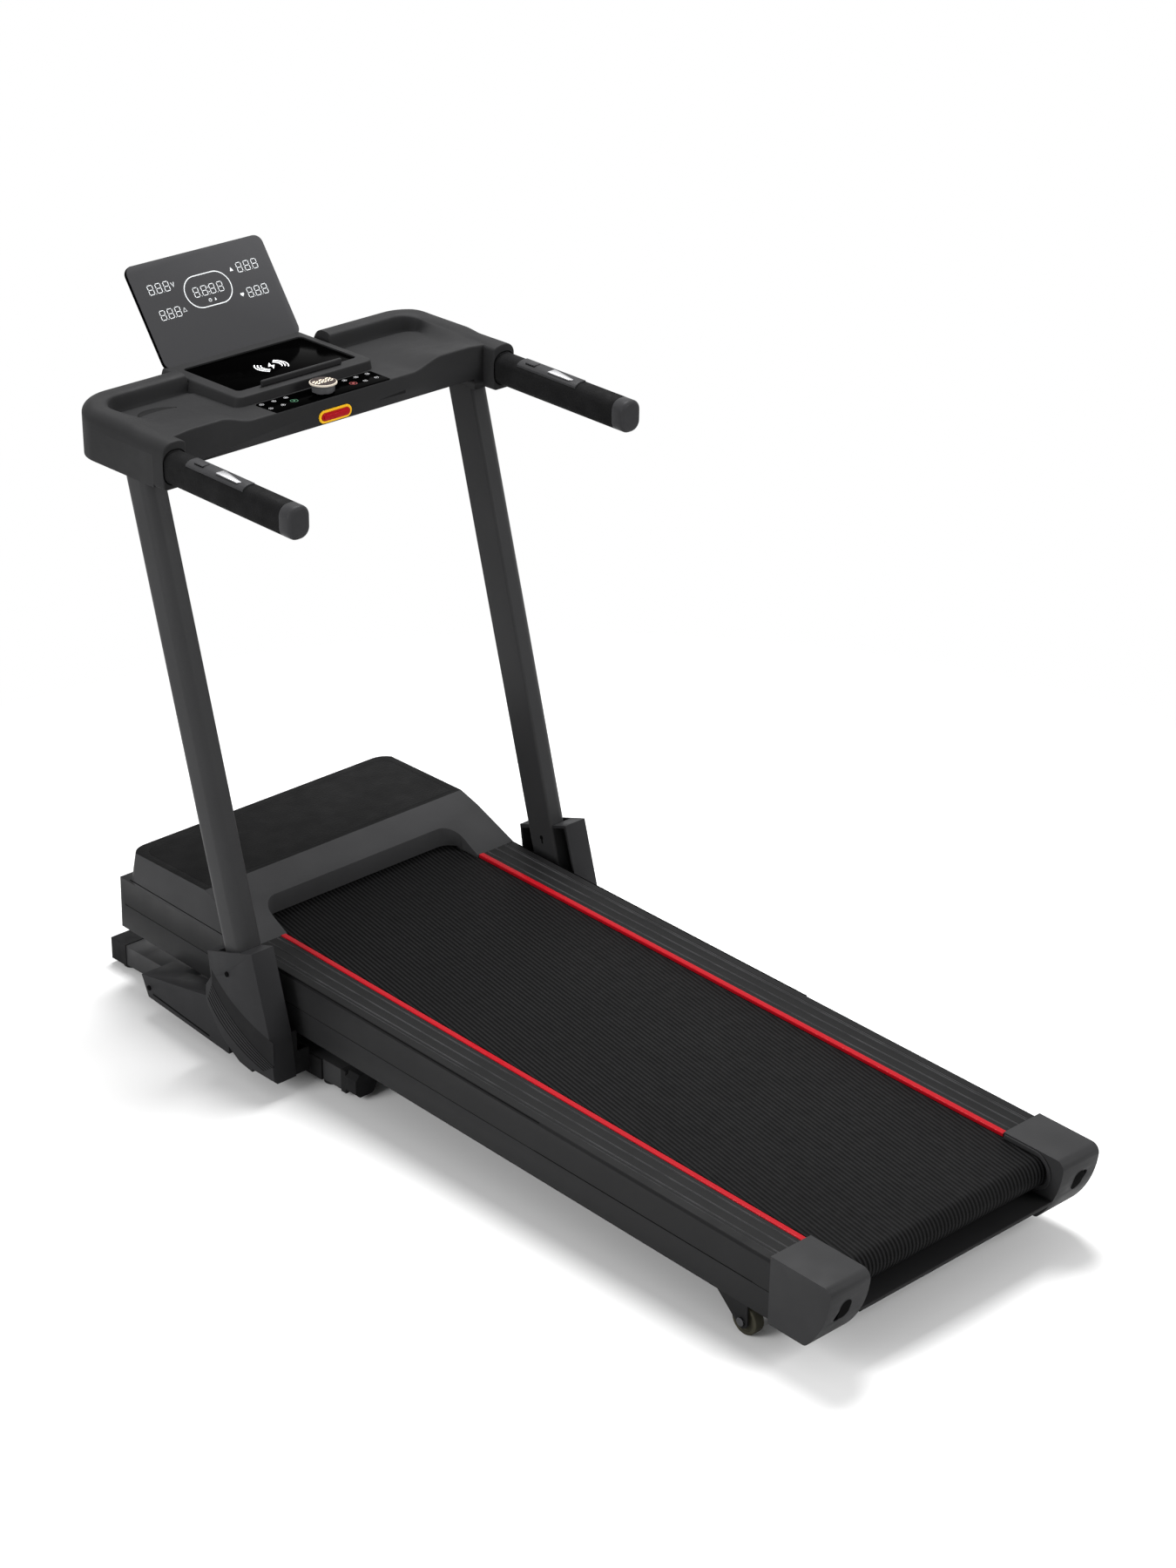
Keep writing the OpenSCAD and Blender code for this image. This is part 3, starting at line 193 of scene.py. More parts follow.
def inset(outline, by):
    """Closed outline moved inwards: each point moves along the mean normal of its two sides, divided by
    the cosine of half the turn, so that straight sides stay parallel."""
    p = np.asarray(outline, float)
    ahead = np.roll(p, -1, 0) - p
    long = np.linalg.norm(ahead, axis=1)
    keep = long > 1e-7
    unit = np.where(keep[:, None], ahead / np.maximum(long, 1e-12)[:, None], 0)
    behind = np.roll(unit, 1, 0)
    n1 = np.stack([-unit[:, 1], unit[:, 0]], -1)
    n0 = np.stack([-behind[:, 1], behind[:, 0]], -1)
    mid = n0 + n1
    size = np.maximum((mid * mid).sum(1), 0.4)[:, None]
    return p + mid * 2 * by / size


def at_height(outline, z):
    """Outline as places (x, y, z) at one height."""
    return np.column_stack([outline, np.full(len(outline), z)])


def slab_rows(outline, low, high, edge):
    """Rows of an upright slab with a rounded upper edge: a row is the outline moved in by edge (1 - sin t)
    at edge (1 - cos t) under the top, t from a right angle down to 0."""
    rows = [at_height(outline, low)]
    for t in np.linspace(0, np.pi / 2, 3)[::-1]:
        rows.append(at_height(inset(outline, edge * (1 - math.sin(t))), high - edge * (1 - math.cos(t))))
    return np.array(rows)


def grid_quads(rows, cols, wrap_rows=False, wrap_cols=False):
    """Quads between neighbouring points of a rows by cols grid, closed round where wrapped."""
    r, c = np.meshgrid(np.arange(rows - (not wrap_rows)), np.arange(cols - (not wrap_cols)), indexing="ij")
    r1, c1 = (r + 1) % rows, (c + 1) % cols
    return np.stack([r * cols + c, r * cols + c1, r1 * cols + c1, r1 * cols + c], -1).reshape(-1, 4)


class Skin:
    """Points and faces of one piece, gathered from several grids."""

    def __init__(self):
        self.points, self.faces, self.kinds, self.maps, self.count = [], [], [], [], 0

    def grid(self, places, wrap_rows=False, wrap_cols=False, caps=False, flip=False, kind=0, chart=None):
        """Adds a grid of places (rows, cols, 3), with a flat face over each end row where caps is set. Kind
        is its finish's number; chart gives each place its own pattern place (u, v)."""
        places = np.asarray(places, float)
        rows, cols = places.shape[:2]
        quads = grid_quads(rows, cols, wrap_rows, wrap_cols)
        faces = [(quads[:, ::-1] if flip else quads) + self.count]
        if caps:
            first = np.arange(cols) + self.count
            last = first + (rows - 1) * cols
            faces += [(first if flip else first[::-1])[None], (last[::-1] if flip else last)[None]]
        for block in faces:
            self.faces += block.tolist()
            self.kinds += [kind] * len(block)
        self.points.append(places.reshape(-1, 3))
        chart = np.zeros(places.shape[:2] + (2,)) if chart is None else chart
        self.maps.append(np.asarray(chart, float).reshape(-1, 2))
        self.count += rows * cols
        return self

    def face(self, places, kind=0):
        """Adds one flat face."""
        places = np.asarray(places, float)
        self.faces.append(list(range(self.count, self.count + len(places))))
        self.kinds.append(kind)
        self.points.append(places)
        self.maps.append(np.zeros((len(places), 2)))
        self.count += len(places)
        return self

    def build(
        self, name, finishes, node=None, body=None, slot=None, sharp=35, weld=0.0, chart=False, outward=False
    ):
        """Makes the object: points within weld of each other become one, faces turn outwards where outward
        is set, edges that bend more than sharp degrees stay crisp."""
        mesh = bpy.data.meshes.new(name)
        points = np.concatenate(self.points)
        mesh.from_pydata(points.tolist(), [], self.faces)
        for finish_name in [finishes] if isinstance(finishes, str) else finishes:
            mesh.materials.append(finish(finish_name))
        mesh.polygons.foreach_set("material_index", np.array(self.kinds, np.int32))
        if chart:
            layer = mesh.uv_layers.new(name="chart")
            index = np.empty(len(mesh.loops), np.int32)
            mesh.loops.foreach_get("vertex_index", index)
            layer.data.foreach_set("uv", np.concatenate(self.maps)[index].astype(np.float32).ravel())
        if weld or outward:
            bm = bmesh.new()
            bm.from_mesh(mesh)
            if weld:
                bmesh.ops.remove_doubles(bm, verts=bm.verts, dist=weld)
            if outward:
                bmesh.ops.recalc_face_normals(bm, faces=bm.faces)
            bm.to_mesh(mesh)
            bm.free()
        mesh.validate()
        mesh.shade_smooth()
        mesh.set_sharp_from_angle(angle=math.radians(sharp))
        return settle(name, mesh, node, body)

    def build_mark(self, name, finish_name, slot, body="stand"):
        """Makes a small mark that lies on another piece and stands for no CAD node."""
        return self.build(name, finish_name, None, body, slot, sharp=20, outward=True)


def settle(name, mesh, node=None, body=None):
    """Puts a mesh in the scene, either in place of a CAD node and on its body, or on a body alone."""
    obj = bpy.data.objects.new(name, mesh)
    bpy.context.scene.collection.objects.link(obj)
    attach(obj, body or NODES[node]["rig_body"])
    if node:
        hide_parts(node)
    return obj


def soften(node, finish_name, width, steps=2, angle=32, reshape=None, weight=None, cut=None):
    """Stands for a CAD node with a copy whose points are merged, flat areas joined and corners rounded.
    Reshape may move its points a little; weight turns edge middles and lengths into shares of the width;
    cut takes off and closes everything behind a place along Y."""
    mesh = NODES[node].data.copy()
    bm = bmesh.new()
    bm.from_mesh(mesh)
    bmesh.ops.remove_doubles(bm, verts=bm.verts, dist=2e-5)
    if cut:
        every, rearward = [*bm.verts, *bm.edges, *bm.faces], (0, -1, 0)
        made = bmesh.ops.bisect_plane(
            bm, geom=every, plane_co=(0, cut, 0), plane_no=rearward, clear_outer=True
        )
        rim = [part for part in made["geom_cut"] if isinstance(part, bmesh.types.BMEdge)]
        bmesh.ops.triangle_fill(bm, edges=rim, use_beauty=True, normal=rearward)
        bmesh.ops.recalc_face_normals(bm, faces=bm.faces)
    bmesh.ops.dissolve_limit(bm, angle_limit=math.radians(0.4), verts=bm.verts, edges=bm.edges)
    if weight:
        ends = np.array([[v.co for v in edge.verts] for edge in bm.edges])
        turned = np.array([edge.calc_face_angle(0.0) for edge in bm.edges]) > math.radians(angle)
        share = weight(ends.mean(1), np.linalg.norm(ends[:, 1] - ends[:, 0], axis=1)) * turned
        crisp = turned & (share == 0)
    bm.to_mesh(mesh)
    bm.free()
    if weight:
        shares = mesh.attributes.new("bevel_weight_edge", "FLOAT", "EDGE")
        shares.data.foreach_set("value", share.astype(np.float32))
        mesh.attributes.new("sharp_edge", "BOOLEAN", "EDGE").data.foreach_set("value", crisp)
    if reshape:
        points = np.empty(len(mesh.vertices) * 3)
        mesh.vertices.foreach_get("co", points)
        mesh.vertices.foreach_set("co", reshape(points.reshape(-1, 3)).ravel())
        mesh.update()
    mesh.materials.clear()
    mesh.materials.append(finish(finish_name))
    mesh.shade_smooth()
    obj = settle("soft_" + node, mesh, node)
    bevel = obj.modifiers.new("Rounded corners", "BEVEL")
    bevel.limit_method = "WEIGHT" if weight else "ANGLE"
    bevel.angle_limit = math.radians(angle)
    bevel.width, bevel.segments, bevel.use_clamp_overlap = width, steps, True
    bevel.harden_normals = True
    return obj


def keep(node, finish_name):
    """Leaves a CAD node as it is and gives it its finish."""
    for place in NODES[node].material_slots:
        place.material = finish(finish_name)


# ---- Finishes ----
class Finish:
    """One procedural material while it is wired up. Every pattern reads Object coordinates in metres."""

    def __init__(self, name):
        self.material = bpy.data.materials.new(name)
        self.material.use_nodes = True
        self.tree = self.material.node_tree
        self.shader = self.tree.nodes["Principled BSDF"]
        self.place = self.add("ShaderNodeTexCoord").outputs["Object"]

    def add(self, kind, setting=None, **inputs):
        """Adds a node; settings are properties, and each input is a value or a socket to link."""
        node = self.tree.nodes.new(kind)
        for key, value in (setting or {}).items():
            setattr(node, key, value)
        for key, value in inputs.items():
            key = int(key[1:]) if key[0] == "_" else key.replace("_", " ")
            self.feed(node.inputs[key], value)
        return node

    def feed(self, socket, value):
        """Links a socket to an input, or writes a value into it."""
        if isinstance(value, bpy.types.NodeSocket):
            self.tree.links.new(value, socket)
        elif socket.type == "RGBA" and hasattr(value, "__len__") and len(value) == 3:
            socket.default_value = (*value, 1)
        else:
            socket.default_value = value
        return self

    def set(self, **inputs):
        """Feeds the shader's own sockets."""
        for key, value in inputs.items():
            self.feed(self.shader.inputs[key.replace("_", " ")], value)
        return self

    def chart(self):
        """The piece's own pattern place, as its two parts."""
        chart = self.add("ShaderNodeUVMap", {"uv_map": "chart"}).outputs["UV"]
        split = self.add("ShaderNodeSeparateXYZ", Vector=chart)
        return split.outputs["X"], split.outputs["Y"]

    def noise(self, size, detail=2.0, rough=0.5, place=None):
        """Smooth noise whose lumps are about size metres across."""
        return self.add(
            "ShaderNodeTexNoise", Vector=place or self.place, Scale=1 / size, Detail=detail, Roughness=rough
        ).outputs["Fac"]

    def cells(self, size):
        """Distance to the nearest of scattered points size metres apart."""
        return self.add("ShaderNodeTexVoronoi", Vector=self.place, Scale=1 / size).outputs["Distance"]

    def span(self, value, low, high, start=0.3, end=0.7):
        """Value carried from start..end to low..high, and held there."""
        limits = {"From_Min": start, "From_Max": end, "To_Min": low, "To_Max": high}
        return self.add("ShaderNodeMapRange", Value=value, **limits).outputs["Result"]

    def math(self, operation, *values):
        """One Math node."""
        node = self.add("ShaderNodeMath", {"operation": operation})
        for socket, value in zip(node.inputs, values):
            self.feed(socket, value)
        return node.outputs["Value"]

    def tint(self, amount, first, second):
        """Colour between first and second."""
        node = self.add("ShaderNodeMix", {"data_type": "RGBA"})
        self.feed(node.inputs["Factor"], amount)
        self.feed(node.inputs[6], first)
        self.feed(node.inputs[7], second)
        return node.outputs[2]

    def bump(self, height, depth):
        """Feeds the shader a bump of depth metres, on top of an earlier one."""
        node = self.add("ShaderNodeBump", Height=height, Distance=depth)
        previous = self.shader.inputs["Normal"].links
        if previous:
            self.tree.links.new(previous[0].from_socket, node.inputs["Normal"])
        self.tree.links.new(node.outputs["Normal"], self.shader.inputs["Normal"])
        return self


def shade(colour, factor):
    """Colour made darker or lighter: each part times a factor."""
    return tuple(float(part) * factor for part in colour)


def moulded(name, colour, rough, grain=0.0012, depth=0.00006, mottle=0.08, shine=0.04):
    """Moulded plastic: fine pebbled grain, with slow clouds in colour and sheen."""
    swing = 0.06
    f = Finish(name).set(Specular_IOR_Level=shine)
    cloud = f.noise(0.11, 3)
    f.set(
        Base_Color=f.tint(f.span(cloud, 0, 1), shade(colour, 1 - mottle), shade(colour, 1 + mottle)),
        Roughness=f.span(f.noise(0.035, 4), rough - swing, rough + swing),
    )
    f.bump(f.math("ADD", f.cells(grain), f.noise(grain * 0.6, 1)), depth)
    return f


def coated(name, colour, rough=0.42):
    """Powder coat: orange peel a few millimetres wide over steel, with fine specks."""
    depth = 0.00005
    f = Finish(name).set(Specular_IOR_Level=0.06)
    specks = f.span(f.noise(0.0009, 1), 0, 1, 0.62, 0.7)
    cloud = f.span(f.noise(0.16, 3), 0, 1)
    base = f.tint(cloud, shade(colour, 0.93), shade(colour, 1.07))
    f.set(
        Base_Color=f.tint(f.math("MULTIPLY", specks, 0.25), base, shade(colour, 1.8)),
        Roughness=f.span(f.noise(0.05, 3), rough - 0.05, rough + 0.05),
    )
    f.bump(f.noise(0.0032, 2), depth)
    f.bump(f.noise(0.0007, 1), depth * 0.4)
    return f


def steel(name, colour, rough, along=(1, 1, 1)):
    """Bright metal with fine tool marks drawn out along one direction."""
    f = Finish(name)
    drawn = f.add("ShaderNodeMapping", Vector=f.place, Scale=along).outputs["Vector"]
    marks = f.noise(0.0012, 3, 0.6, drawn)
    f.set(
        Base_Color=f.tint(f.span(f.noise(0.02, 3), 0, 1), shade(colour, 0.86), colour),
        Roughness=f.span(marks, rough - 0.08, rough + 0.1),
        Metallic=1.0,
    )
    f.bump(marks, 0.00002)
    return f


def rubbery(name, colour, rough=0.75, grain=0.002, depth=0.00012, shine=0.03):
    """Rubber or soft foam: open pores and a dusty sheen."""
    f = Finish(name).set(Specular_IOR_Level=shine)
    dust = f.span(f.noise(0.03, 4), 0, 1)
    f.set(
        Base_Color=f.tint(dust, shade(colour, 0.85), shade(colour, 1.25)),
        Roughness=f.span(f.noise(0.012, 3), rough - 0.08, rough + 0.08),
    )
    f.bump(f.math("ADD", f.cells(grain), f.noise(grain * 0.5, 2)), depth)
    return f


def glossy(name, colour, rough, coat, depth=0.000008, shine=0.04):
    """Polished plastic under a clear coat, with a faint wave in it and fine dust on it."""
    f = Finish(name)
    dust = f.span(f.noise(0.0006, 2), 0, 1, 0.66, 0.74)
    f.set(
        Base_Color=f.tint(f.math("MULTIPLY", dust, 0.15), colour, shade(colour, 2.2)),
        Roughness=f.span(f.noise(0.02, 4), rough, rough * 1.8),
        Coat_Weight=coat,
        Coat_Roughness=0.03,
        Coat_IOR=1.12,
        Specular_IOR_Level=shine,
    )
    f.bump(f.noise(0.012, 2), depth)
    return f


def printed(name, colour, glow):
    """Screen-printed mark: thin ink with slightly uneven cover, with a painted glow in its own colour."""
    f = Finish(name)
    ink = f.span(f.noise(0.0008, 2), 0, 1)
    tone = f.tint(ink, shade(colour, 0.88), colour)
    f.set(Base_Color=tone, Roughness=f.span(f.noise(0.003, 2), 0.35, 0.5))
    # Painted glow: the ink gives off light in its own colour, though nothing lights it.
    return f.set(Emission_Color=tone, Emission_Strength=glow)


def rail_finish(name):
    """Rail plastic with thin painted highlights where light from the left would catch: one on the left flank
    of each ridge, and one on the edge of the outer band, each 1 near its middle and falling evenly to 0 at
    both sides."""
    looks = bpy.context.scene.treadmill_finishes
    sizes = bpy.context.scene.treadmill_deck
    flank, band_edge = 0.0006, 0.0525
    f = moulded(name, looks.rail, 0.45, 0.0008, 0.00003)
    base = f.shader.inputs["Base Color"].links[0].from_socket
    across, side = f.chart()
    line = 0.0
    for place in [sizes.ridge_first + i * sizes.ridge_pitch for i in range(RIDGES)] + [band_edge]:
        away = f.math("SUBTRACT", f.math("ADD", across, f.math("MULTIPLY", side, flank)), place)
        line = f.math("ADD", line, f.span(f.math("ABSOLUTE", away), 1, 0, 0.0005, 0.0013))
    # Painted highlight: pale lines at five times the rail's colour, unevenly strong, for light on the ridges'
    # left flanks and on the band's edge.
    painted_highlight = f.math("MULTIPLY", line, f.span(f.noise(0.05, 3), 0.5, 1.0, 0.35, 0.6))
    f.set(Base_Color=f.tint(painted_highlight, base, shade(looks.rail, 5.0)))
    return f


def belt_finish(name):
    """Walking belt: round ribs every few millimetres, a sine of the place across it that drifts sideways
    along it, each crossed by a fine weave. The ribs' colour is painted shade: dark in the grooves between
    them, pale on their crests."""
    looks = bpy.context.scene.treadmill_finishes
    sizes = bpy.context.scene.treadmill_deck
    weave_slant, weave_pitch = 0.6, 0.0024
    f = Finish(name).set(Specular_IOR_Level=0.03)
    across, along = f.chart()
    skewed = f.math("SUBTRACT", across, f.math("MULTIPLY", along, sizes.rib_slant))
    wave = f.math("SINE", f.math("MULTIPLY", skewed, 2 * math.pi / sizes.rib_pitch))
    rib_height_and_shade = f.span(wave, 0, 1, -0.75, 0.75)
    crossing = f.math("ADD", along, f.math("MULTIPLY", across, weave_slant))
    thread = f.math("SINE", f.math("MULTIPLY", crossing, 2 * math.pi / weave_pitch))
    wear = f.span(f.noise(0.2, 4), 0, 1)
    base = f.tint(wear, shade(looks.belt, 1.5), shade(looks.belt, 1.9))
    # Painted shade: the colour falls to 0.12 of the belt's in the rib grooves; the same sine also bumps the
    # ribs.
    f.set(
        Base_Color=f.tint(rib_height_and_shade, shade(looks.belt, 0.12), base),
        Roughness=f.span(f.noise(0.02, 3), 0.5, 0.62),
    )
    f.bump(rib_height_and_shade, 0.0007)
    f.bump(f.math("MULTIPLY", thread, rib_height_and_shade), 0.00008)
    return f


def recipes():
    """Every finish of the machine by name: its maker, then its colour and the maker's other settings."""
    c = bpy.context.scene.treadmill_finishes
    return {
        "frame_coat": (coated, c.frame_coat),
        # Painted light: the base tubes take the frame's coat made 1.9 times lighter, to lift them out of the
        # deck's shadow.
        "base_coat": (coated, shade(c.frame_coat, 1.9)),
        "upright_coat": (coated, c.upright_coat, 0.38),
        "hidden_coat": (coated, shade(c.frame_coat, 0.7), 0.5),
        "shell_plastic": (moulded, c.shell, 0.52),
        # Painted shade: a dark copy of the console's plastic, for the shaded wall of the cup hollow and the
        # inside of the rear slot.
        "hollow_plastic": (moulded, shade(c.shell, 0.42), 0.6),
        "dark_plastic": (moulded, shade(c.shell, 0.5), 0.6),
        "cover_plastic": (moulded, c.cover, 0.5),
        # Painted shade: the cover's plastic at half its colour, for a shaded facet above the grooves on the
        # upright covers.
        "cover_shade": (moulded, shade(c.cover, 0.5), 0.55),
        "smooth_plastic": (moulded, shade(c.cover, 1.45), 0.38, 0.0006, 0.00002),
        "hood_plastic": (moulded, c.hood, 0.5),
        "cap_plastic": (moulded, shade(c.hood, 0.75), 0.48),
        "hood_grain": (moulded, c.hood_panel, 0.62, 0.0034, 0.0004, 0.15),
        # Black for the cover screws; on the small marks of the covers, frame, console and caps it is painted
        # shade standing for holes, slots, grooves and gaps.
        "hole_black": (moulded, (0.003, 0.003, 0.003), 0.8, 0.0012, 0.00006, 0.08, 0.01),
        "knob_grey": (moulded, (0.07, 0.07, 0.073), 0.4, 0.0006, 0.00002),
        "circuit_board": (moulded, (0.02, 0.12, 0.05), 0.4, 0.003, 0.00005, 0.3),
        "rail_plastic": (rail_finish,),
        "belt_rubber": (belt_finish,),
        "gloss_black": (glossy, shade(c.gloss, 0.3), 0.08, 0.006, 0.0, 0.001),
        "display_face": (glossy, c.display, 0.3, 0.0, 0.0, 0.02),
        "red_plastic": (glossy, c.red, 0.25, 0.4),
        "yellow_plastic": (glossy, c.yellow, 0.3, 0.3),
        "knob_top": (glossy, (0.02, 0.012, 0.01), 0.2, 0.2),
        "cream_ring": (glossy, (0.42, 0.38, 0.32), 0.3, 0.2),
        "grip_rubber": (rubbery, shade(c.grip, 0.7), 0.6, 0.0028, 0.0003, 0.02),
        "black_rubber": (rubbery, shade(c.grip, 1.2)),
        "tyre": (rubbery, (0.035, 0.033, 0.024), 0.5, 0.001, 0.00005),
        "zinc": (steel, (0.55, 0.56, 0.57), 0.32),
        "black_zinc": (steel, (0.10, 0.10, 0.105), 0.35),
        "turned_steel": (steel, (0.55, 0.55, 0.56), 0.28, (30, 1, 1)),
        "silver": (steel, (0.42, 0.42, 0.43), 0.34, (1, 20, 1)),
        # The prints glow by their last number: a painted glow, not lamps.
        "button_print": (printed, (0.42, 0.42, 0.43), 0.02),
        "white_print": (printed, (0.85, 0.86, 0.87), 0.15),
        "digit_glow": (printed, (0.62, 0.64, 0.65), 0.12),
        "amber_print": (printed, (0.85, 0.74, 0.58), 0.3),
        "green_print": (printed, (0.008, 0.10, 0.04), 0.02),
        "red_print": (printed, (0.20, 0.008, 0.008), 0.02),
    }


def finish(name):
    """The named material, made on first use."""
    material = bpy.data.materials.get(name)
    if material is None:
        maker, *settings = recipes()[name]
        material = maker(name, *settings).material
    return material


# ---- Sizes and colours that a user may change ----
def metres(name, description, default, low, high):
    """A length in metres, with its limits."""
    return FloatProperty(
        name=name, description=description, default=default, min=low, max=high, unit="LENGTH"
    )


def plain_colour(name, description, default):
    """A plain colour that a finish starts from."""
    return FloatVectorProperty(
        name=name, description=description, default=default, min=0, max=1, subtype="COLOR"
    )


def watts(name, description, default):
    """A lamp's power, for which there is no unit here."""
    return FloatProperty(name=name, description=description, default=default, min=0, max=4000)


class TreadmillDeckSizes(bpy.types.PropertyGroup):
    """Belt and deck details."""

    rib_pitch: metres("Rib spacing", "Distance between two ribs of the belt", 0.0078, 0.003, 0.02)
    rib_slant: FloatProperty(
        name="Rib slant", description="Sideways run of the ribs for each metre of belt",
        default=0.159, min=-0.5, max=0.5,
    )
    ridge_rise: metres("Ridge height", "Height of the ridges on the side rails", 0.0012, 0, 0.003)
    ridge_first: metres("First ridge", "From the rail's inner edge to the first ridge", 0.0087, 0.004, 0.02)
    ridge_pitch: metres("Ridge spacing", "From one ridge to the next", 0.019, 0.01, 0.022)
    outer_band: metres("Outer band", "Width of the rail's lowered outer band", 0.0165, 0.008, 0.018)
    band_fall: metres("Band fall", "How far the outer band slopes down", 0.0012, 0, 0.003)


class TreadmillFrameSizes(bpy.types.PropertyGroup):
    """Tube and handle roundings."""

    upright_outer: metres("Upright outer corners", "Corner radius on the outer side", 0.0195, 0.005, 0.0198)
    upright_inner: metres("Upright inner corners", "Corner radius towards the deck", 0.005, 0.001, 0.015)
    toe_in: metres("Upright toe-in", "How far the uprights' tops lean in", 0.007, 0, 0.012)
    grip_corner: metres("Grip corners", "Corner radius of the handles' end caps", 0.018, 0.008, 0.02)
    cap_round: metres("Cap rounding", "Rounding of the handles' end faces", 0.007, 0.002, 0.015)


class TreadmillConsoleSizes(bpy.types.PropertyGroup):
    """Shape of the console's upper surface."""

    corner: metres("Corner radius", "Radius of the two front corners in plan", 0.076, 0.07, 0.1)
    rim_front: metres("Front rim", "Height of the rim's crest at the front", 1.0880, 1.08, 1.09)
    rim_side: metres("Side rim", "Height of the rim's crest along the sides", 1.0830, 1.08, 1.09)
    rim_rear: metres("Rear rim", "Height of the rim's crest at the handles", 1.0795, 1.07, 1.09)
    rim_wide: metres("Rim width", "From the outer edge to the top of the tray's wall", 0.041, 0.03, 0.05)
    rim_round: metres("Rim rounding", "Width of the rim's rounded outer shoulder", 0.021, 0.008, 0.026)
    rim_drop: metres("Rim drop", "Height of the rim's rounded outer shoulder", 0.0190, 0.008, 0.02)
    floor: metres("Tray floor", "Height of the trays' floor at the front", 1.0600, 1.058, 1.07)
    cup_x: metres("Cup hollow across", "Middle of the left tray's round hollow", -0.261, -0.28, -0.24)
    cup_y: metres("Cup hollow along", "Middle of the left tray's round hollow", 0.642, 0.62, 0.66)
    cup_radius: metres("Cup hollow radius", "Radius of the left tray's round hollow", 0.038, 0.03, 0.045)
    block_shift: metres("Block right side", "How much narrower the centre block is there", 0.009, 0, 0.012)
    block_corner: metres("Block corners", "Corner radius of the centre block", 0.014, 0.005, 0.02)


class TreadmillDisplaySizes(bpy.types.PropertyGroup):
    """Places of the digits on the display, from its middle."""

    upper_row: metres("Upper row", "Height of the upper digits over the middle", 0.045, 0, 0.08)
    lower_row: metres("Lower row", "Height of the lower digits over the middle", -0.001, -0.06, 0.03)


class TreadmillFinishes(bpy.types.PropertyGroup):
    """Base colours."""

    frame_coat: plain_colour("Frame", "Powder coat of the deck frame and base", (0.015, 0.015, 0.01545))
    upright_coat: plain_colour("Uprights", "Satin coat of the two uprights", (0.028, 0.028, 0.02884))
    shell: plain_colour("Console", "Plastic of the console", (0.018, 0.018, 0.01854))
    cover: plain_colour("Covers", "Plastic of the foot covers", (0.020, 0.020, 0.021))
    hood: plain_colour("Hood", "Plastic of the motor hood and end caps", (0.036, 0.036, 0.03708))
    hood_panel: plain_colour("Hood panel", "Coarse plastic on top of the hood", (0.0045, 0.0045, 0.00463))
    rail: plain_colour("Side rails", "Plastic of the foot rails", (0.0085, 0.0085, 0.00876))
    gloss: plain_colour("Gloss black", "Polished panels", (0.001, 0.001, 0.00103))
    display: plain_colour("Display", "Face of the display panel", (0.045, 0.045, 0.047))
    red: plain_colour("Red", "Strips beside the belt and the safety key", (0.30, 0.004, 0.009))
    yellow: plain_colour("Yellow", "Ring of the safety socket", (0.75, 0.42, 0.015))
    belt: plain_colour("Belt", "Walking belt", (0.005, 0.005, 0.00515))
    grip: plain_colour("Grips", "Soft grips and rubber", (0.011, 0.011, 0.01133))


class TreadmillStudio(bpy.types.PropertyGroup):
    """Camera and light."""

    camera_place: FloatVectorProperty(
        name="Camera place", description="Where the camera stands",
        subtype="TRANSLATION", unit="LENGTH", default=(-3.535, -3.866, 3.058),
    )
    camera_turn: FloatProperty(
        name="Camera turn", description="Direction of view, clockwise from the belt's direction",
        subtype="ANGLE", default=math.radians(43.0),
    )
    camera_fall: FloatProperty(
        name="Camera fall", description="How far the camera looks down",
        subtype="ANGLE", default=math.radians(25.56),
    )
    lens: FloatProperty(
        name="Lens", description="Focal length in millimetres on a 36 mm sensor",
        default=84.24, min=20, max=300,
    )
    sky: FloatProperty(
        name="Sky light", description="Strength of the light from all round",
        default=0.44, min=0, max=3,
    )
    key: watts("Key light", "Power of the large lamp overhead in watts", 290)
    side: watts("Side light", "Power of the lamp on the left in watts", 135)
    rim: watts("Rim light", "Power of the lamp behind the machine in watts", 110)


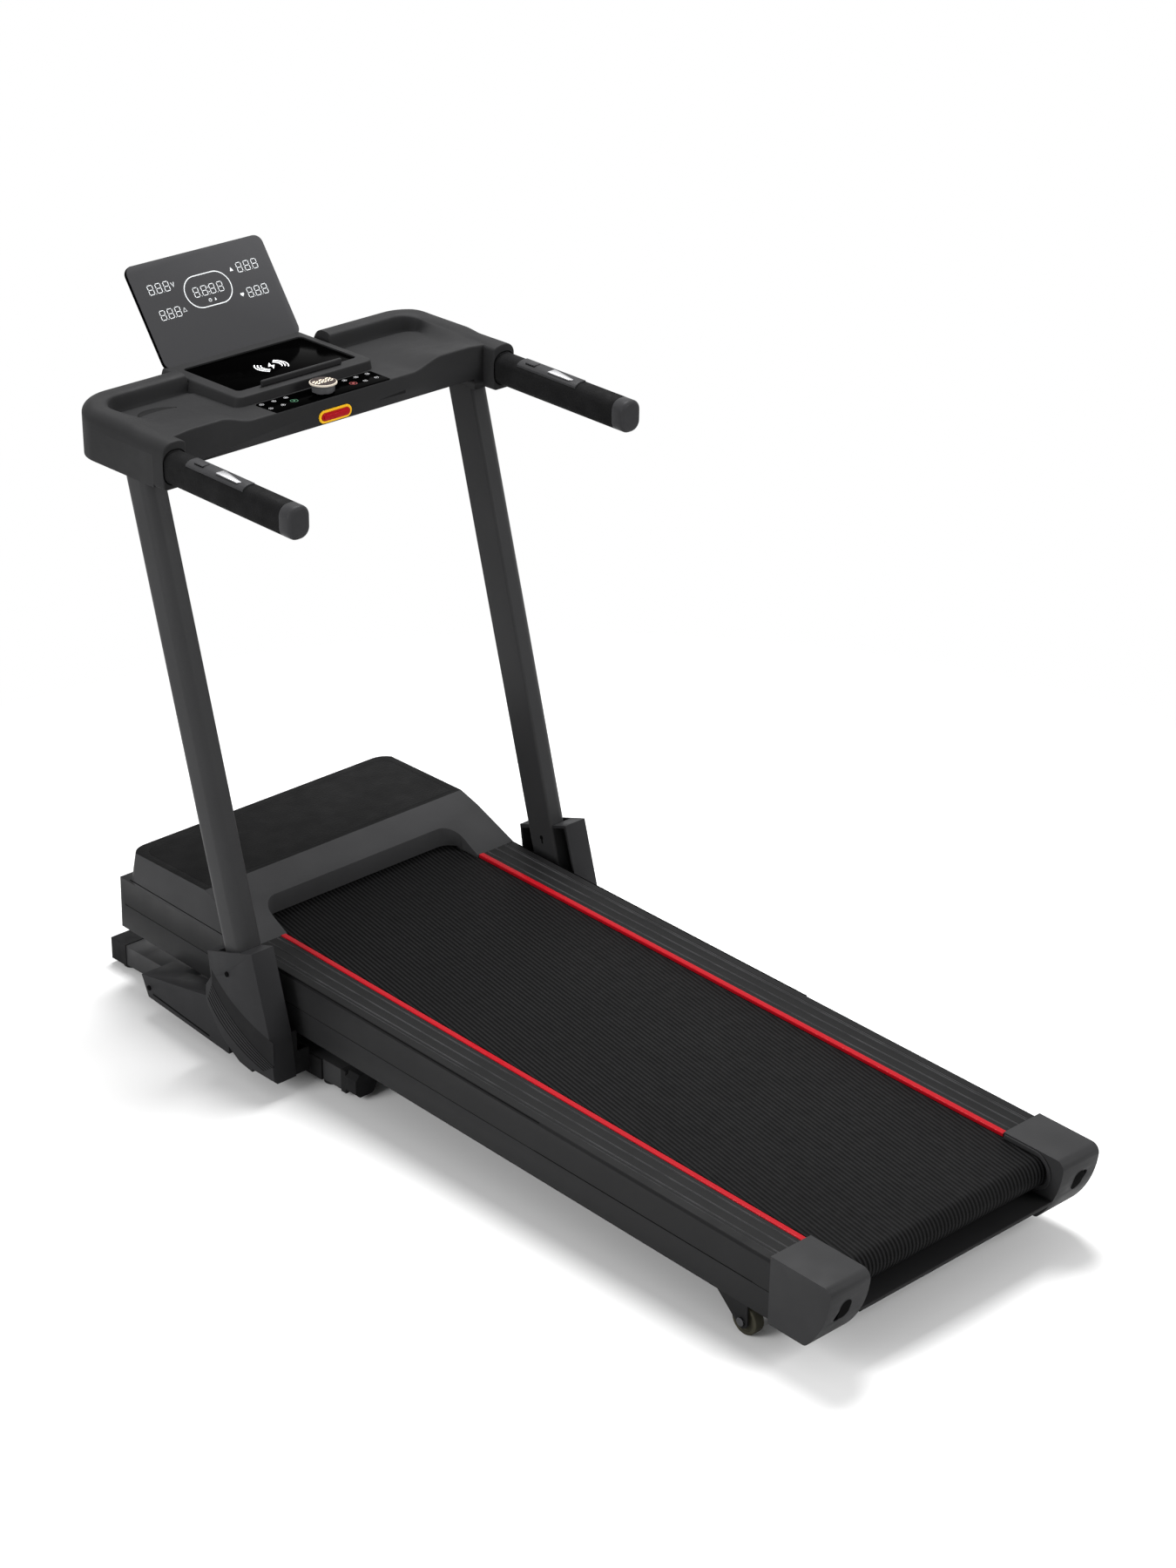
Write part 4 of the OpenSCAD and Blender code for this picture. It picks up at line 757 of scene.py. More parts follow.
# ---- Pieces ----
class MakeStage(bpy.types.Operator):
    """Camera, white surroundings, soft lamps and the pale floor with the machine's shadow."""

    bl_idname = "treadmill.stage"
    bl_label = "Studio"

    def execute(self, context):
        s = context.scene.treadmill_studio
        camera = bpy.data.objects.new("camera", bpy.data.cameras.new("camera"))
        context.scene.collection.objects.link(camera)
        camera.location = s.camera_place
        camera.rotation_euler = (math.pi / 2 - s.camera_fall, 0, -s.camera_turn)
        camera.data.lens, camera.data.sensor_width = s.lens, 36
        camera.data.clip_end = 100
        context.scene.camera = camera
        context.scene.view_settings.view_transform = "Standard"
        self.world(context, s.sky)
        middle = np.mean(CAD_BOX, axis=0)
        aim_height = 0.4
        for name, place, size, power in (
            ("key lamp", (1.2, 1.2, 4.4), 2.4, s.key),
            ("side lamp", (-4.0, 0.6, 2.0), 2.4, s.side),
            ("rear lamp", (1.6, -3.6, 2.2), 2.0, s.rim),
        ):
            data = bpy.data.lights.new(name, "AREA")
            data.shape, data.size, data.energy = "DISK", size, power
            lamp = bpy.data.objects.new(name, data)
            context.scene.collection.objects.link(lamp)
            lamp.location = place
            lamp.rotation_mode = "QUATERNION"
            aim = Vector((middle[0], middle[1], aim_height)) - lamp.location
            lamp.rotation_quaternion = aim.to_track_quat("-Z", "Y")
        self.floor(context)
        return {"FINISHED"}

    @staticmethod
    def world(context, sky):
        """Even light, with plain white for the eye and for mirrored and transmitted rays."""
        world = bpy.data.worlds.new("studio")
        context.scene.world = world
        world.use_nodes = True
        tree = world.node_tree
        back = tree.nodes["Background"]
        path = tree.nodes.new("ShaderNodeLightPath")
        shown = path.outputs["Is Camera Ray"]
        for ray in ("Is Transmission Ray", "Is Glossy Ray"):
            either = tree.nodes.new("ShaderNodeMath")
            either.operation = "MAXIMUM"
            tree.links.new(shown, either.inputs[0])
            tree.links.new(path.outputs[ray], either.inputs[1])
            shown = either.outputs[0]
        level = tree.nodes.new("ShaderNodeMapRange")
        level.inputs["To Min"].default_value = sky
        level.inputs["To Max"].default_value = 1.0
        tree.links.new(shown, level.inputs["Value"])
        back.inputs["Color"].default_value = (1, 1, 1, 1)
        tree.links.new(level.outputs["Result"], back.inputs["Strength"])

    @staticmethod
    def floor(context):
        """Round floor: rings of growing reach round the origin, matt near the machine and fading to plain
        white further out."""
        spokes = 96
        turn = np.linspace(0, 2 * np.pi, spokes, endpoint=False)
        reach = np.array([0.01, 0.6, 1.2, 2.0, 3.0, 5.0, 9.0, 16.0])[:, None]
        ring = np.stack([reach * np.cos(turn), reach * np.sin(turn), 0 * reach * turn], -1)
        f = Finish("floor")
        f.set(Base_Color=(0.78, 0.78, 0.78), Roughness=1.0, Specular_IOR_Level=0.0)
        away = f.add("ShaderNodeVectorMath", {"operation": "LENGTH"}, _0=f.place).outputs["Value"]
        fade = f.span(away, 0, 1, 1.15, 1.9)
        path = f.add("ShaderNodeLightPath")
        shown = f.math("MAXIMUM", path.outputs["Is Camera Ray"], path.outputs["Is Glossy Ray"])
        white = f.add("ShaderNodeEmission", Color=(1, 1, 1), Strength=1.0)
        mix = f.add("ShaderNodeMixShader", Fac=f.math("MULTIPLY", fade, shown))
        f.tree.links.new(f.shader.outputs[0], mix.inputs[1])
        f.tree.links.new(white.outputs[0], mix.inputs[2])
        f.tree.links.new(mix.outputs[0], f.tree.nodes["Material Output"].inputs["Surface"])
        skin = Skin().grid(ring[::-1], wrap_cols=True)
        middle = list(range((len(reach) - 1) * spokes, len(reach) * spokes))
        mesh = bpy.data.meshes.new("floor")
        mesh.from_pydata(skin.points[0].tolist(), [], skin.faces + [middle])
        mesh.materials.append(f.material)
        floor = bpy.data.objects.new("floor", mesh)
        context.scene.collection.objects.link(floor)


class MakeFrame(bpy.types.Operator):
    """Base, deck frame, rear wheels and the steel parts under the deck."""

    bl_idname = "treadmill.frame"
    bl_label = "Frame and base"

    def execute(self, context):
        for node, name, width in (
            ("side_frame_left", "frame_coat", 0.0016),
            ("side_frame_right", "frame_coat", 0.0016),
            # The base tubes' coat is a lighter copy of the frame's: painted light.
            ("base_tubes", "base_coat", 0.0025),
            ("base_crossbars", "base_coat", 0.002),
            ("base_tube_ends", "black_rubber", 0.0016),
            ("base_feet", "black_rubber", 0.001),
            ("upright_brackets", "hidden_coat", 0.0012),
            ("wheel_brackets", "hidden_coat", 0.0008),
            ("lift_frame", "hidden_coat", 0.0012),
            ("deck_crossbars", "hidden_coat", 0.0015),
            ("belly_pan", "hidden_coat", 0.0008),
            ("rear_wheel_left", "tyre", 0.0016),
            ("rear_wheel_right", "tyre", 0.0016),
        ):
            soften(node, name, width)
        return {"FINISHED"}


class MakeRunningGear(bpy.types.Operator):
    """Finishes of the motor, rollers, bolts and other parts kept from the frame."""

    bl_idname = "treadmill.running_gear"
    bl_label = "Running gear"

    kept = {
        "zinc": ("frame_bolts",),
        "black_zinc": ("deck_bolts",),
        "hole_black": ("cover_screws",),
        "turned_steel": ("roller_axles", "front_roller", "rear_roller", "motor_rotor", "fold_shaft"),
        "hidden_coat": ("motor", "lift_motor", "handle_tubes"),
        "black_rubber": ("drive_belt", "board_cushions"),
        "circuit_board": ("motor_controller", "console_board"),
        "dark_plastic": ("power_inlet", "running_board"),
        "gloss_black": ("gas_cylinder",),
        "silver": ("gas_rod",),
    }

    def execute(self, context):
        for name, nodes in self.kept.items():
            for node in nodes:
                keep(node, name)
        return {"FINISHED"}


class MakeUprights(bpy.types.Operator):
    """Uprights: a section that is flat towards the deck and round outside, carried straight up each tube."""

    bl_idname = "treadmill.uprights"
    bl_label = "Uprights"

    def execute(self, context):
        s = context.scene.treadmill_frame
        for side, name in SIDES:
            node = "upright_" + name
            middle, axes, half = slab_axes(node)
            lean, level = lean_of(axes)
            points = node_points(node)
            wide, deep = np.ptp(points[:, 0]) / 2, np.ptp(points @ level) / 2
            radii = [s.upright_outer, s.upright_outer, s.upright_inner, s.upright_inner]
            outline = rounded([[wide, -deep], [wide, deep], [-wide, deep], [-wide, -deep]], radii, 12)
            ring = side * outline[:, :1] * ACROSS + outline[:, 1:] * level
            ends = np.array([-half[0], half[0]])[:, None, None]
            drift = np.array([0, -side * s.toe_in])[:, None, None] * ACROSS
            skin = Skin().grid(middle + ring + ends * lean + drift, wrap_cols=True, caps=True)
            skin.build("tube_" + node, "upright_coat", node, outward=True)
        return {"FINISHED"}


# ---- Deck ----
def belt_path(station, front, back, middle, radius):
    """Loop round both rollers. Station is the place along the deck on the top run; before the rear roller
    and past the front one it counts on round a half turn of the radius and back underneath."""
    turn = math.pi * radius
    early = np.clip(back - station, 0, turn) / radius
    late = np.clip(station - front, 0, turn) / radius
    under = np.maximum(back - station - turn, 0) - np.maximum(station - front - turn, 0)
    angle = early - late
    along = np.clip(station, back, front) + under
    normal = np.stack([-np.sin(angle), np.cos(angle)], -1)
    return np.stack([along, np.full_like(along, middle)], -1) + radius * normal, normal


def along_belt(section, path, normal):
    """Places of a closed section (across, out) carried along the belt's path."""
    across = np.broadcast_to(section[:, 0], (len(path), len(section)))
    place = path[:, None] + normal[:, None] * section[None, :, 1:]
    return on_deck(np.concatenate([across[..., None], place], -1))


def along_deck(section, start, end, side):
    """Places of a closed section (across, up) carried straight along the deck, mirrored where side is -1."""
    x = np.broadcast_to(section[:, 0] * side, (2, len(section)))
    y = np.broadcast_to(np.array([[start], [end]]), x.shape)
    z = np.broadcast_to(section[:, 1], x.shape)
    return on_deck(np.stack([x, y, z], -1))


class MakeBelt(bpy.types.Operator):
    """Walking belt: a thin rounded strip carried once round both rollers."""

    bl_idname = "treadmill.belt"
    bl_label = "Walking belt"

    def execute(self, context):
        low, high = deck_box("walking_belt")
        back, middle = from_row(ROLLER_REAR)[1:]
        front = from_row(ROLLER_FRONT)[1]
        radius = high[2] - middle
        turn, run = math.pi * radius, (front - back) / 2
        stops = [back - turn - run, back - turn, back, front, front + turn, front + turn + run]
        steps = zip(stops, stops[1:], (12, 28, 72, 28, 12))
        station = [np.linspace(start, end, count)[:-1] for start, end, count in steps]
        station = np.concatenate([*station, stops[-1:]])
        thick = 0.002
        ring = soft_rect(high[0] - low[0], thick, 0.0007, 3) - [0, thick / 2]
        path, normal = belt_path(station, front, back, middle, radius)
        chart = np.stack(np.broadcast_arrays(ring[:, 0], station[:, None]), -1)
        skin = Skin().grid(along_belt(ring, path, normal), wrap_cols=True, flip=True, chart=chart)
        skin.build("belt", "belt_rubber", "walking_belt", chart=True, weld=1e-6, sharp=50)
        return {"FINISHED"}


class MakeRails(bpy.types.Operator):
    """Foot rails with raised ridges and a lowered outer band, and the red strips beside the belt."""

    bl_idname = "treadmill.rails"
    bl_label = "Side rails and red strips"

    def execute(self, context):
        s = context.scene.treadmill_deck
        rail_low, rail_high = deck_box("side_rails")
        strip_low, strip_high = deck_box("red_strips")
        gap = 0.0003
        inner = strip_high[0] + gap
        rail = self.rail_section(inner, rail_low[2], rail_high, s)
        wide = inner - gap - node_points("red_strips", 1)[:, 0].min()
        strip = soft_rect(wide, strip_high[2] - strip_low[2], 0.0014, 5)
        strip += [strip_high[0] - wide / 2, (strip_high[2] + strip_low[2]) / 2]
        across = np.broadcast_to(rail[:, 0] - inner, (2, len(rail)))
        rails, strips = Skin(), Skin()
        for side, _ in SIDES:
            chart = np.stack([across, np.full_like(across, side)], -1)
            place = along_deck(rail, rail_low[1], rail_high[1], side)
            rails.grid(place, wrap_cols=True, caps=True, flip=side < 0, chart=chart)
            place = along_deck(strip, strip_low[1], strip_high[1], side)
            strips.grid(place, wrap_cols=True, caps=True, flip=side > 0)
        rails.build("foot_rails", "rail_plastic", "side_rails", chart=True, outward=True, sharp=30)
        strips.build("red_edges", "red_plastic", "red_strips", outward=True)
        return {"FINISHED"}

    @staticmethod
    def rail_section(inner, low, high, s):
        """Across the rail the height is the top, plus a squared cosine hump at each ridge, less a groove, a
        slope on the outer band and the two rounded edges; the section then closes round the side frame's
        top."""
        outer, top = high[0], high[2] - s.ridge_rise
        seat = deck_box("side_frame_right")[1][2]
        wide, edge, inner_edge, lip = outer - inner, 0.0035, 0.001, 0.003
        round_off = wide - edge + edge * np.sin(np.linspace(0.1, np.pi / 2, 9))
        x = np.concatenate([np.linspace(0, wide - edge, 264), round_off])

        def hump(at, half):
            """Squared cosine: 1 at a place, 0 from half its width on, on both sides."""
            return np.cos(np.clip((x - at) / half, -1, 1) * np.pi / 2) ** 2

        ridge_half, flat_top, groove, groove_half = 0.0014, 1.6, 0.0008, 0.0009
        height = np.zeros_like(x)
        for i in range(RIDGES):
            ridge = flat_top * hump(s.ridge_first + i * s.ridge_pitch, ridge_half)
            height += s.ridge_rise * np.minimum(1, ridge)
        height -= groove * hump(wide - s.outer_band, groove_half)
        height -= s.band_fall * np.clip((x - wide + s.outer_band) / s.outer_band, 0, 1)
        height -= edge - np.sqrt(edge**2 - np.clip(x - wide + edge, 0, edge) ** 2)
        height -= inner_edge * (1 - np.sqrt(1 - np.clip(1 - x / inner_edge, 0, 1) ** 2))
        under = [[outer, seat], [inner + lip, seat], [inner + lip, low], [inner, low]]
        return np.concatenate([np.stack([inner + x, top + height], -1), under])


class MakeHood(bpy.types.Operator):
    """Motor hood with softened edges, its coarse top panel and the rear end caps with their belt guards."""

    bl_idname = "treadmill.hood"
    bl_label = "Hood and end caps"

    def execute(self, context):
        soften("hood_top_panel", "hood_grain", 0.0006, 2, reshape=self.taper)
        hood = soften("hood", "hood_plastic", 0.003, 3, 15, reshape=self.taper)
        hood.data.materials.append(finish("hood_grain"))
        middles = np.array([face.center for face in hood.data.polygons])
        level = np.array([face.normal for face in hood.data.polygons])[:, 2] > 0.98
        top = from_row(middles)[:, 2] > deck_box("hood_top_panel")[0][2] - 0.001
        hood.data.polygons.foreach_set("material_index", (top & level).astype(np.int32))
        soften("end_caps", "cap_plastic", 0.0025, 3, 25)
        self.guards()
        return {"FINISHED"}

    @staticmethod
    def taper(points):
        """Draws the hood in towards its top, at the sides and at its front end: the way in grows evenly with
        height, and from nothing to all over a short stretch before the wall."""
        low, high = deck_box("hood")
        side_in, side_from, front_in, front_from, stretch = 0.004, 0.24, 0.010, 0.06, 0.02
        p = from_row(points)
        up = np.clip((p[:, 2] - low[2]) / (high[2] - low[2]), 0, 1)
        p[:, 0] -= np.sign(p[:, 0]) * side_in * up * np.clip((np.abs(p[:, 0]) - side_from) / stretch, 0, 1)
        p[:, 1] -= front_in * up * np.clip((p[:, 1] - high[1] + front_from) / stretch, 0, 1)
        return on_deck(p)

    @staticmethod
    def guards():
        """Guards that hug the belt's ends: a rounded bar carried along the belt's path, just outside it."""
        belt_high = deck_box("walking_belt")[1]
        inner = node_points("end_caps", 1)[:, 0].min()
        back, middle = from_row(ROLLER_REAR)[1:]
        radius = belt_high[2] - middle
        start = deck_box("side_rails")[0][1] - 0.004
        wide, rise = inner - belt_high[0] - 0.0008, 0.007
        section = soft_rect(wide, rise, 0.0009, 4) + [(inner + belt_high[0]) / 2, rise / 2 + 0.001]
        station = np.concatenate([[start], np.linspace(back, back - math.pi * radius * 1.04, 30)])
        path, normal = belt_path(station, start + 1, back, middle, radius)
        skin = Skin()
        for side, _ in SIDES:
            skin.grid(along_belt(section * [side, 1], path, normal), wrap_cols=True, caps=True)
        skin.build("belt_guards", "cap_plastic", None, "deck", "end_caps", outward=True)


# ---- Console ----
class ConsolePlan:
    """Sizes of the console's upper surface, worked out from the frame."""

    # Where the rim climbs along Y, to its side height and then to its front height, and over what length.
    side_start, front_start, step = 0.57, 0.69, 0.04
    # Where the floor starts to climb, backwards from a place along Y and outwards from one across.
    floor_start, floor_side, floor_climb = 0.715, 0.165, 0.067
    # Width of the wall between rim and floor in front, and what it gains along the sides.
    wall_start, wall_fade, wall_front, wall_gain = 0.70, 0.08, 0.006, 0.034
    # Slight fall of the rim's inner half, and the trough along the foot of the front wall.
    fall_start, fall_wide, fall = 0.027, 0.014, 0.003
    trough_start, trough_fade, trough_in, trough_edge, trough = 0.655, 0.03, 0.0585, 0.0016, 0.0024
    # Way down under the centre block, which hides what is there.
    hidden, hidden_edge, hidden_fade = 0.008, 0.001, 0.004

    def __init__(self, context):
        self.s = context.scene.treadmill_console
        low, high = row_box("console_top")
        self.half, self.rear, self.low, self.block_front = high[0], low[1], low[2], high[1]
        self.front = row_box("console_shell")[1][1]
        self.seam = self.low + 0.016
        self.block_top = row_box("charging_pad")[1][2] + 0.0002
        self.strip_top = row_box("control_strip")[1][2]
        self.block_half = row_box("display_glass")[1][0] + 0.005
        self.corner = self.s.corner

    def depth(self, x, y):
        """Way in from the front and side edges: to the nearer edge line, or to the arc in a corner."""
        ax, ay = self.half - np.abs(x), self.front - y
        cx, cy = np.maximum(self.corner - ax, 0), np.maximum(self.corner - ay, 0)
        return np.where((cx > 0) & (cy > 0), self.corner - np.hypot(cx, cy), np.minimum(ax, ay))

    def height(self, x, y):
        """Rim crest all round, rounded outside by a quarter ellipse, falling by a wall to a trough in front
        and softly at the sides; the floor climbs to the rear, least in the middle."""
        s = self.s
        d = self.depth(x, y)
        crest = s.rim_rear + (s.rim_side - s.rim_rear) * ease((y - self.side_start) / self.step)
        crest = crest + (s.rim_front - s.rim_side) * ease((y - self.front_start) / self.step)
        climb = np.clip((self.floor_start - y) / (self.floor_start - self.rear), 0, 1)
        middle, side = self.strip_top - 0.0006 - s.floor, s.rim_rear + 0.0005 - s.floor
        rise = middle + (side - middle) * ease((np.abs(x) - self.floor_side) / self.floor_climb)
        ahead = ease((y - self.trough_start) / self.trough_fade)
        trough = ahead * (1 - ease((d - self.trough_in) / self.trough_edge))
        floor = s.floor + climb * rise - self.trough * trough
        wall = self.wall_front + self.wall_gain * ease((self.wall_start - y) / self.wall_fade)
        rim = crest - self.fall * np.clip((d - self.fall_start) / self.fall_wide, 0, 1) ** 2
        z = rim + (floor - rim) * ease((d - s.rim_wide) / wall)
        out = np.clip((s.rim_round - d) / s.rim_round, 0, 1)
        z = z - s.rim_drop * (1 - np.sqrt(1 - out**2))
        under_block = np.minimum(z, self.block_top - self.hidden)
        beside = ease((np.abs(x) - self.block_half - self.hidden_edge) / self.hidden_fade)
        return under_block + (z - under_block) * beside


class MakeConsole(bpy.types.Operator):
    """Console: the shaped upper surface with its two trays, the centre block, the shell and the socket."""

    bl_idname = "treadmill.console"
    bl_label = "Console"

    def execute(self, context):
        plan = ConsolePlan(context)
        skin = Skin()
        self.surface(skin, plan)
        self.block(skin, plan)
        skin.build("console_deck", "shell_plastic", "console_top", weld=2e-5, sharp=40)

        def lower_edges(middle, size):
            """Full width on every edge under the seam that is longer than five millimetres."""
            return (size > 0.005) * (middle[:, 2] < plan.seam - 0.0005) * 1.0

        cut = plan.rear + 0.00005
        soften("console_shell", "shell_plastic", 0.0035, 3, 30, cut=cut, weight=lower_edges)
        self.collars(plan)
        self.hollow(plan)
        self.slot(plan)
        soften("phone_ledge", "shell_plastic", 0.003, 4)
        soften("safety_socket", "yellow_plastic", 0.0012, 3)
        soften("safety_key", "red_plastic", 0.0018, 3)
        return {"FINISHED"}

    @staticmethod
    def hollow(plan):
        """Painted shade: a dark crescent for the shaded wall of the round hollow in the left tray, lying just
        over the tray's floor: rows shared evenly between an arc and a flatter one, raised off the floor by a
        sine of the share."""
        s = plan.s
        first, flatness = 12, 0.30
        arc = ring_path(s.cup_x, s.cup_y, s.cup_radius, first, 180 - first, 40)
        low = s.cup_y + s.cup_radius * math.sin(math.radians(first))
        flat = np.column_stack([arc[:, 0], low + (arc[:, 1] - low) * flatness])
        share = np.linspace(0, 1, 6)[:, None, None]
        band = arc + (flat - arc) * share
        rise = 0.0002 + 0.0008 * np.sin(np.pi * share)
        z = plan.height(band[..., 0], band[..., 1])[..., None] + rise
        skin = Skin().grid(np.concatenate([band, z], -1))
        skin.build("cup_hollow", "hollow_plastic", None, "stand", "console_top")

    @staticmethod
    def slot(plan):
        """Thin wedge-shaped slot on the console's rear face, beside the safety key, drawn as a dark mark of
        painted shade.
        """
        low, high = row_box("safety_key")
        wedge = [[0.090, 0.0005], [0.150, -0.0005], [0.150, 0.0045]] + np.array([0, (low[2] + high[2]) / 2])
        skin = Skin()
        patch(skin, on_wall(plan.rear), wedge, 0.0002)
        skin.build_mark("rear_slot", "hollow_plastic", "console_shell")

    @staticmethod
    def collars(plan):
        """Collars behind the console that take the handles: one rounded section carried back, with a rounded
        rear edge, and a black ring of painted shade for the gap round each grip."""
        points = node_points("console_shell")
        back, low, high = points[:, 1].min(), points[:, 2].min(), points[:, 2].max()
        inner = np.abs(points[points[:, 1] < plan.rear - 0.001][:, 0]).min()
        outer, corner = plan.half - 0.00002, 0.006
        foot = rounded([[inner, low], [outer, low], [outer, high], [inner, high]], [corner, 0.007, 0, 0], 10)
        foot = foot[foot[:, 1] < (low + high) / 2]
        across = outer - (outer - inner - 0.008) * (1 - np.cos(np.linspace(0, np.pi / 2, 40)))
        across = np.concatenate([across, inner + corner * (1 - np.sin(np.linspace(0, np.pi / 2, 9)))])
        fall = corner * (1 - np.sqrt(1 - np.clip((corner - across + inner) / corner, 0, 1) ** 2))

        def section(y):
            """Foot with two rounded corners, closed above by the console's own height at a place along Y."""
            top = plan.height(across, np.full(len(across), y)) + 0.0001 - fall
            return np.concatenate([foot, np.column_stack([across, top])])

        edge, turn = 0.0025, np.linspace(0, np.pi / 2, 5)
        ahead = [plan.rear + 0.012, plan.rear + 0.006, plan.rear]
        end = section(plan.rear)
        rows = np.array([section(y) for y in ahead] + [inset(end, edge * (1 - math.cos(t))) for t in turn])
        along = np.array(ahead + [back + edge * (1 - math.sin(t)) for t in turn])
        along = np.broadcast_to(along[:, None], rows.shape[:2])
        skin, gap = Skin(), Skin()
        for side, _ in SIDES:
            skin.grid(np.stack([side * rows[..., 0], along, rows[..., 1]], -1), wrap_cols=True, caps=True)
            grip = node_points("handle_grips", side)
            grip = grip[grip[:, 1] > back - 0.02]
            lowest, highest = grip.min(0), grip.max(0)
            wide, _, tall = highest - lowest + 0.003
            ring = soft_rect(wide, tall, 0.0195, 8) + ((lowest + highest) / 2 + [0, 0, 0.0003])[[0, 2]]
            stroke(gap, on_wall(back), ring, 0.0022, closed=True)
        skin.build("collars", "shell_plastic", None, "stand", "console_shell", outward=True, sharp=40)
        gap.build_mark("collar_gaps", "hole_black", "console_shell")

    @staticmethod
    def surface(skin, plan):
        """A band of offset lines runs in from the front and side edges; a four-sided patch fills the middle,
        blended from its borders (the sum of both pairs of opposite borders less the corners)."""
        half, rear, front, r, s = plan.half, plan.rear, plan.front, plan.corner, plan.s
        fillet, band, side_count = 0.003, 0.062, 110
        y_side = np.linspace(rear + fillet, front - r, side_count)
        quarter = np.linspace(0, np.pi / 2, 25)[1:-1]
        step = plan.block_half + np.array([0.0002, 0.001, 0.002, 0.003, 0.004, 0.0052])
        x_under, x_beyond = np.linspace(0, step[0] - 0.001, 58), np.linspace(step[-1] + 0.0015, half - r, 84)
        x_right = np.concatenate([x_under, step, x_beyond])
        x_front = np.concatenate([-x_right[:0:-1], x_right])
        inward = np.concatenate(
            [
                s.rim_round * (1 - np.cos(np.linspace(0, np.pi / 2, 10))),
                np.linspace(s.rim_round, s.rim_wide, 7)[1:],
                s.rim_wide + np.linspace(0, 0.006, 8)[1:],
                [0.050, 0.054, 0.058, 0.0588, 0.0594, 0.0601, band],
            ]
        )

        def line(d):
            """Offset line at way d in: up the left side, round the front and back down the right side."""
            turn = r - d
            arc = np.stack([half - r + turn * np.cos(quarter), front - r + turn * np.sin(quarter)], -1)
            right = np.concatenate([np.stack([np.full(side_count, half - d), y_side], -1), arc])
            ahead = np.stack([x_front, np.full(len(x_front), front - d)], -1)
            return np.concatenate([right * [-1, 1], ahead, right[::-1]])

        def on_surface(field):
            """Places (x, y) lifted to the console's height."""
            return np.concatenate([field, plan.height(field[..., 0], field[..., 1])[..., None]], -1)

        def foot_of(row):
            """A row of places let down to the seam."""
            return row * [1, 1, 0] + [0, 0, plan.seam]

        rows = np.array([line(d) for d in inward])
        field = on_surface(rows)
        skin.grid(np.concatenate([foot_of(field[:1]), field]), flip=True)

        last = rows[-1]
        side = side_count + len(quarter) // 2 + 1
        left, right = last[:side], last[::-1][:side]
        ahead = last[side - 1 : len(last) - side + 1]
        x_back = np.interp(ahead[:, 0], [ahead[0, 0], ahead[-1, 0]], [left[0, 0], right[0, 0]])
        back = np.stack([x_back, np.full(len(x_back), rear + fillet)], -1)
        v = np.concatenate([[0], np.cumsum(np.hypot(*np.diff(left, axis=0).T))])
        v = (v / v[-1])[:, None, None]
        u = ((ahead[:, 0] - ahead[0, 0]) / np.ptp(ahead[:, 0]))[None, :, None]
        corners = (1 - u) * (1 - v) * left[0] + u * (1 - v) * right[0]
        corners = corners + (1 - u) * v * left[-1] + u * v * right[-1]
        middle = (1 - v) * back + v * ahead + (1 - u) * left[:, None] + u * right[:, None] - corners
        skin.grid(on_surface(middle))

        x = np.concatenate([rows[:-1, 0, 0], x_back, -rows[:-1, 0, 0][::-1]])
        top = plan.height(x, np.full(len(x), rear + fillet))
        down = np.linspace(np.pi / 2, 0, 6)[:, None]
        y, z = rear + fillet * (1 - np.cos(down)), top - fillet * (1 - np.sin(down))
        wall = np.stack([*np.broadcast_arrays(x, y), z], -1)
        wall = np.concatenate([wall, foot_of(wall[-1:])])
        skin.grid(wall, flip=True)
        for end, turn in ((0, 1), (-1, -1)):
            corner = np.array([[x[end], rear + fillet, plan.seam]])
            skin.face(np.concatenate([wall[:, end], corner])[::turn])
        base = np.concatenate([rows[0], [[half, rear], [-half, rear]]])
        skin.face(at_height(base, plan.seam))

    @staticmethod
    def block(skin, plan):
        """Centre block: a soft rectangle that narrows upwards, rounds over at the top and steps down into
        the pad's recess."""
        s = plan.s
        pad_low, pad_high = row_box("charging_pad")
        y_rear = pad_low[1] - 0.028

        def ring(grow, z, corner=s.block_corner):
            """Block's outline at height z, grown by all of grow on the left and by less elsewhere."""
            wide, rear = plan.block_half + grow, y_rear - grow * 0.4
            right = plan.block_half - s.block_shift + grow * 0.4
            corners = [[right, rear], [right, plan.block_front], [-wide, plan.block_front], [-wide, rear]]
            return at_height(rounded(corners, [corner, 0.002, 0.002, corner], 9), z)

        edge, top, recess = 0.0035, plan.block_top, 0.0032
        rows = [ring(0.012, plan.low, s.block_corner + 0.004), ring(0.0005, top - edge)]
        for t in np.linspace(0, np.pi / 2, 5)[1:]:
            rows.append(ring(-edge * (1 - math.cos(t)), top - edge * (1 - math.sin(t))))
        x, (y0, y1) = pad_high[0], (pad_low[1], pad_high[1])
        opening = inset(rounded([[x, y0], [x, y1], [-x, y1], [-x, y0]], 0.008, 9), -0.0005)
        rows += [at_height(opening, top), at_height(opening, top - recess)]
        skin.grid(np.array(rows), wrap_cols=True, caps=True)


# ---- Display, pad and buttons ----
def on_wall(y):
    """Turns places (across, up, height off it) on a wall that faces backwards into row places."""
    return lambda p: np.stack([p[..., 0], y - p[..., 2], p[..., 1]], -1)


def on_level(z):
    """Turns places (across, along, height off it) on a level face into row places."""
    return lambda p: p + [0, 0, z]


def stroke(skin, place, path, width, rise=0.00015, closed=False):
    """A flat line of print: a low rectangle carried along a path on the surface. Place turns (across, up,
    height off the surface) into row places."""
    path = np.asarray(path, float)
    if closed:
        way = np.roll(path, -1, 0) - np.roll(path, 1, 0)
    else:
        way = np.gradient(path, axis=0)
    way /= np.linalg.norm(way, axis=1)[:, None]
    left = np.stack([-way[:, 1], way[:, 0]], -1) * width / 2
    flat = np.stack([path + left, path + left, path - left, path - left], 1)
    off = np.broadcast_to(np.array([0, rise, rise, 0])[None, :, None], (len(path), 4, 1))
    skin.grid(place(np.concatenate([flat, off], -1)), wrap_rows=closed, wrap_cols=True, caps=not closed)


